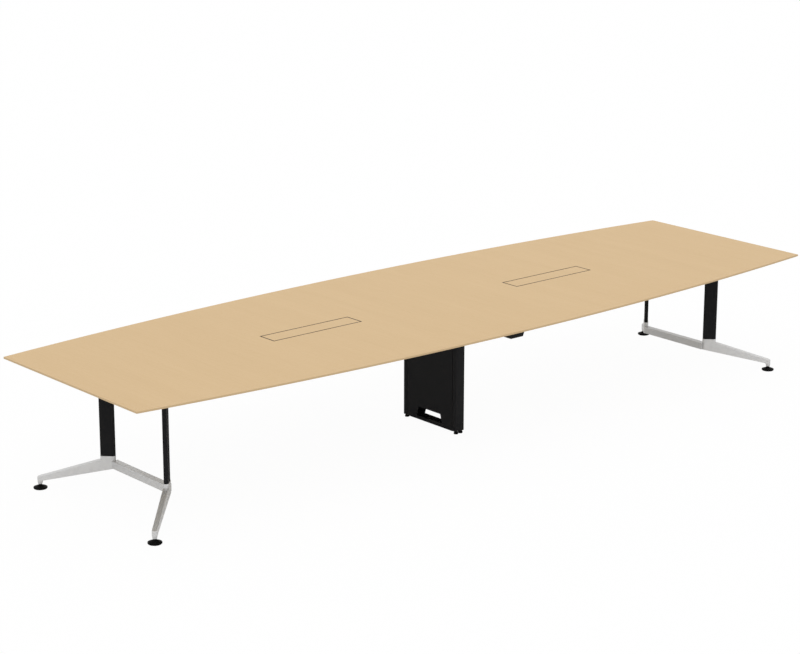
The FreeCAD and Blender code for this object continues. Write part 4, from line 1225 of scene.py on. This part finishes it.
class Fittings:
    """Every screw, bolt and levelling stem of the table."""

    SETS = (
        FastenerSet("beam_screws", "beam_pan_screws", Stock.WOOD_SCREW),
        FastenerSet("wiring_screws", "wiring_pan_screws", Stock.WOOD_SCREW),
        FastenerSet("column_bolts", "column_socket_bolts", Stock.CAP_BOLT, head_down=False),
        FastenerSet("leg_bolts", "leg_socket_bolts", Stock.CAP_BOLT, head_down=False),
        FastenerSet("foot_bolts", "foot_socket_bolts", Stock.CAP_BOLT),
        FastenerSet("rail_bolts", "rail_socket_bolts", Stock.LOW_HEAD_BOLT),
        FastenerSet("low_beam_bolts", "low_beam_socket_bolts", Stock.LOW_HEAD_BOLT),
    )

    def add(self, dresser: Dresser) -> None:
        """Make them all.

        Args:
            dresser: The holder of the finishes.
        """
        for fasteners in self.SETS:
            fasteners.add(dresser)
        for corner in CORNERS:
            self._glide_stem(corner).add(dresser)
            self._leg_stem(corner).add(dresser)

    @staticmethod
    def _glide_stem(corner: str) -> LevellingStem:
        """Give the stem of the glide under a foot."""
        return LevellingStem(
            f"glide_stem_{corner}", flats=17.0, hexagon_height=6.0,
            radius=5.0, pitch=1.5, pivot_radius=4.0, pivot_depth=14.7,
        )

    @staticmethod
    def _leg_stem(corner: str) -> LevellingStem:
        """Give the stem of an adjuster under the centre leg."""
        return LevellingStem(
            f"leg_stem_{corner}", flats=13.0, hexagon_height=4.0,
            radius=4.0, pitch=1.25, pivot_radius=3.0, pivot_depth=5.7,
        )


@dataclass
class Viewpoint:
    """The photograph's camera, worked out from its perspective.

    Attributes:
        position: Where the camera stands, in metres.
        yaw: Its heading from +Y towards +X, in radians.
        pitch: Its tilt up from level, in radians.
        roll: Its lean, in radians.
        focal_pixels: Its focal length in pixels of the photograph.
        image_width: The photograph's width in pixels.
        sensor_width: The sensor's width in millimetres.
        reach: How far it sees, in metres.
    """

    position: Point = (-8.09853, -9.157316, 4.009076)
    yaw: float = 0.708547
    pitch: float = -0.274176
    roll: float = 0.002036
    focal_pixels: float = 2271.97
    image_width: int = 800
    sensor_width: float = 36.0
    reach: float = 200.0

    def add(self) -> bpy.types.Object:
        """Add the camera and look through it.

        Returns:
            The camera.
        """
        data = bpy.data.cameras.new("photograph_view")
        data.sensor_width = self.sensor_width
        data.lens = self.focal_pixels / self.image_width * self.sensor_width
        data.clip_end = self.reach
        camera = bpy.data.objects.new("photograph_view", data)
        camera.matrix_world = Matrix.Translation(self.position) @ self._turn()
        bpy.context.scene.collection.objects.link(camera)
        bpy.context.scene.camera = camera
        return camera

    def _turn(self) -> Matrix:
        """Work out how the camera is turned.

        Returns:
            The turn, with the camera's right, up and back as its columns.
        """
        forward = Vector(
            (
                math.cos(self.pitch) * math.sin(self.yaw),
                math.cos(self.pitch) * math.cos(self.yaw),
                math.sin(self.pitch),
            )
        )
        level = Vector((math.cos(self.yaw), -math.sin(self.yaw), 0.0))
        upright = level.cross(forward)
        right = level * math.cos(self.roll) + upright * math.sin(self.roll)
        up = upright * math.cos(self.roll) - level * math.sin(self.roll)
        return Matrix((right, up, -forward)).transposed().to_4x4()


@dataclass
class Studio:
    """A white floor under plain soft light.

    Attributes:
        floor_size: The floor's side in metres.
        floor_drop: How far the floor lies below the glides, in metres.
        floor_colour: The floor's colour.
        floor_veil: How much of the floor is plain white where it is seen, over its shadow.
        sky_strength: Light from all round.
        sun_strength: Light of the one soft lamp.
        sun_softness: The lamp's width as an angle, in degrees.
        sun_turn: The lamp's turns about X, Y and Z, in degrees.
    """

    floor_size: float = 60.0
    floor_drop: float = 0.0002
    floor_colour: Colour = (0.98, 0.98, 0.98, 1.0)
    floor_veil: float = 0.96
    sky_strength: float = 0.80
    sun_strength: float = 0.70
    sun_softness: float = 50.0
    sun_turn: Point = (34.0, -16.0, -20.0)

    def add(self) -> None:
        """Add the floor, the sky and the lamp."""
        self._floor()
        self._sky()
        self._lamp()
        bpy.context.scene.view_settings.view_transform = "Standard"

    def _floor(self) -> None:
        """Lay the floor."""
        half = self.floor_size / 2
        mesh = bpy.data.meshes.new("studio_floor")
        corners = [(-half, -half, 0.0), (half, -half, 0.0), (half, half, 0.0), (-half, half, 0.0)]
        mesh.from_pydata(corners, [], [(0, 1, 2, 3)])
        mesh.materials.append(self._floor_look())
        floor = bpy.data.objects.new("studio_floor", mesh)
        floor.location.z = -self.floor_drop
        bpy.context.scene.collection.objects.link(floor)

    def _floor_look(self) -> bpy.types.Material:
        """Make the floor white to the eye, with a faint shadow left.

        Returns:
            The material.
        """
        shader = Shader("studio_floor")
        paint = shader.node(
            "ShaderNodeBsdfDiffuse", inputs={"Color": self.floor_colour, "Roughness": 0.0}
        )
        veil = shader.node("ShaderNodeEmission", inputs={"Strength": 1.0})
        eye = Value(shader, shader.node("ShaderNodeLightPath").outputs["Is Camera Ray"])
        veiled = shader.node(
            "ShaderNodeMixShader",
            inputs={0: eye * self.floor_veil, 1: paint.outputs[0], 2: veil.outputs[0]},
        )
        shader.node("ShaderNodeOutputMaterial", inputs={0: veiled.outputs[0]})
        return shader.material

    @staticmethod
    def _seen(maker: NodeMaker) -> Value:
        """Tell the rays that look from those that light.

        Args:
            maker: The node tree under construction.

        Returns:
            1 for a ray that looks, straight, in a reflection or through glass, else 0.
        """
        path = maker.node("ShaderNodeLightPath").outputs
        glossy = Value(maker, path["Is Glossy Ray"])
        looking = Value(maker, path["Is Camera Ray"]).or_more(glossy)
        return looking.or_more(Value(maker, path["Is Transmission Ray"]))

    def _sky(self) -> None:
        """Fill the world with even light that looks white where it is seen."""
        world = bpy.data.worlds.new("studio_sky")
        world.use_nodes = True
        sky = NodeMaker(world.node_tree)
        strength = self.sky_strength + self._seen(sky) * (1.0 - self.sky_strength)
        light = sky.node("ShaderNodeBackground", inputs={"Color": WHITE, "Strength": strength})
        sky.node("ShaderNodeOutputWorld", inputs={0: light.outputs[0]})
        bpy.context.scene.world = world

    def _lamp(self) -> None:
        """Hang one wide soft lamp high over the camera."""
        data = bpy.data.lights.new("soft_lamp", "SUN")
        data.energy = self.sun_strength
        data.angle = math.radians(self.sun_softness)
        lamp = bpy.data.objects.new("soft_lamp", data)
        lamp.rotation_euler = [math.radians(angle) for angle in self.sun_turn]
        bpy.context.scene.collection.objects.link(lamp)


def main() -> None:
    """Dress the table and set it in the studio."""
    logging.basicConfig(level=logging.INFO, format="%(message)s")
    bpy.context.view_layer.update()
    Viewpoint().add()
    Studio().add()
    dresser = Dresser()
    dresser.dress_nodes()
    Fittings().add(dresser)
    log.info("the table is dressed")


if __name__ == "__main__":
    main()
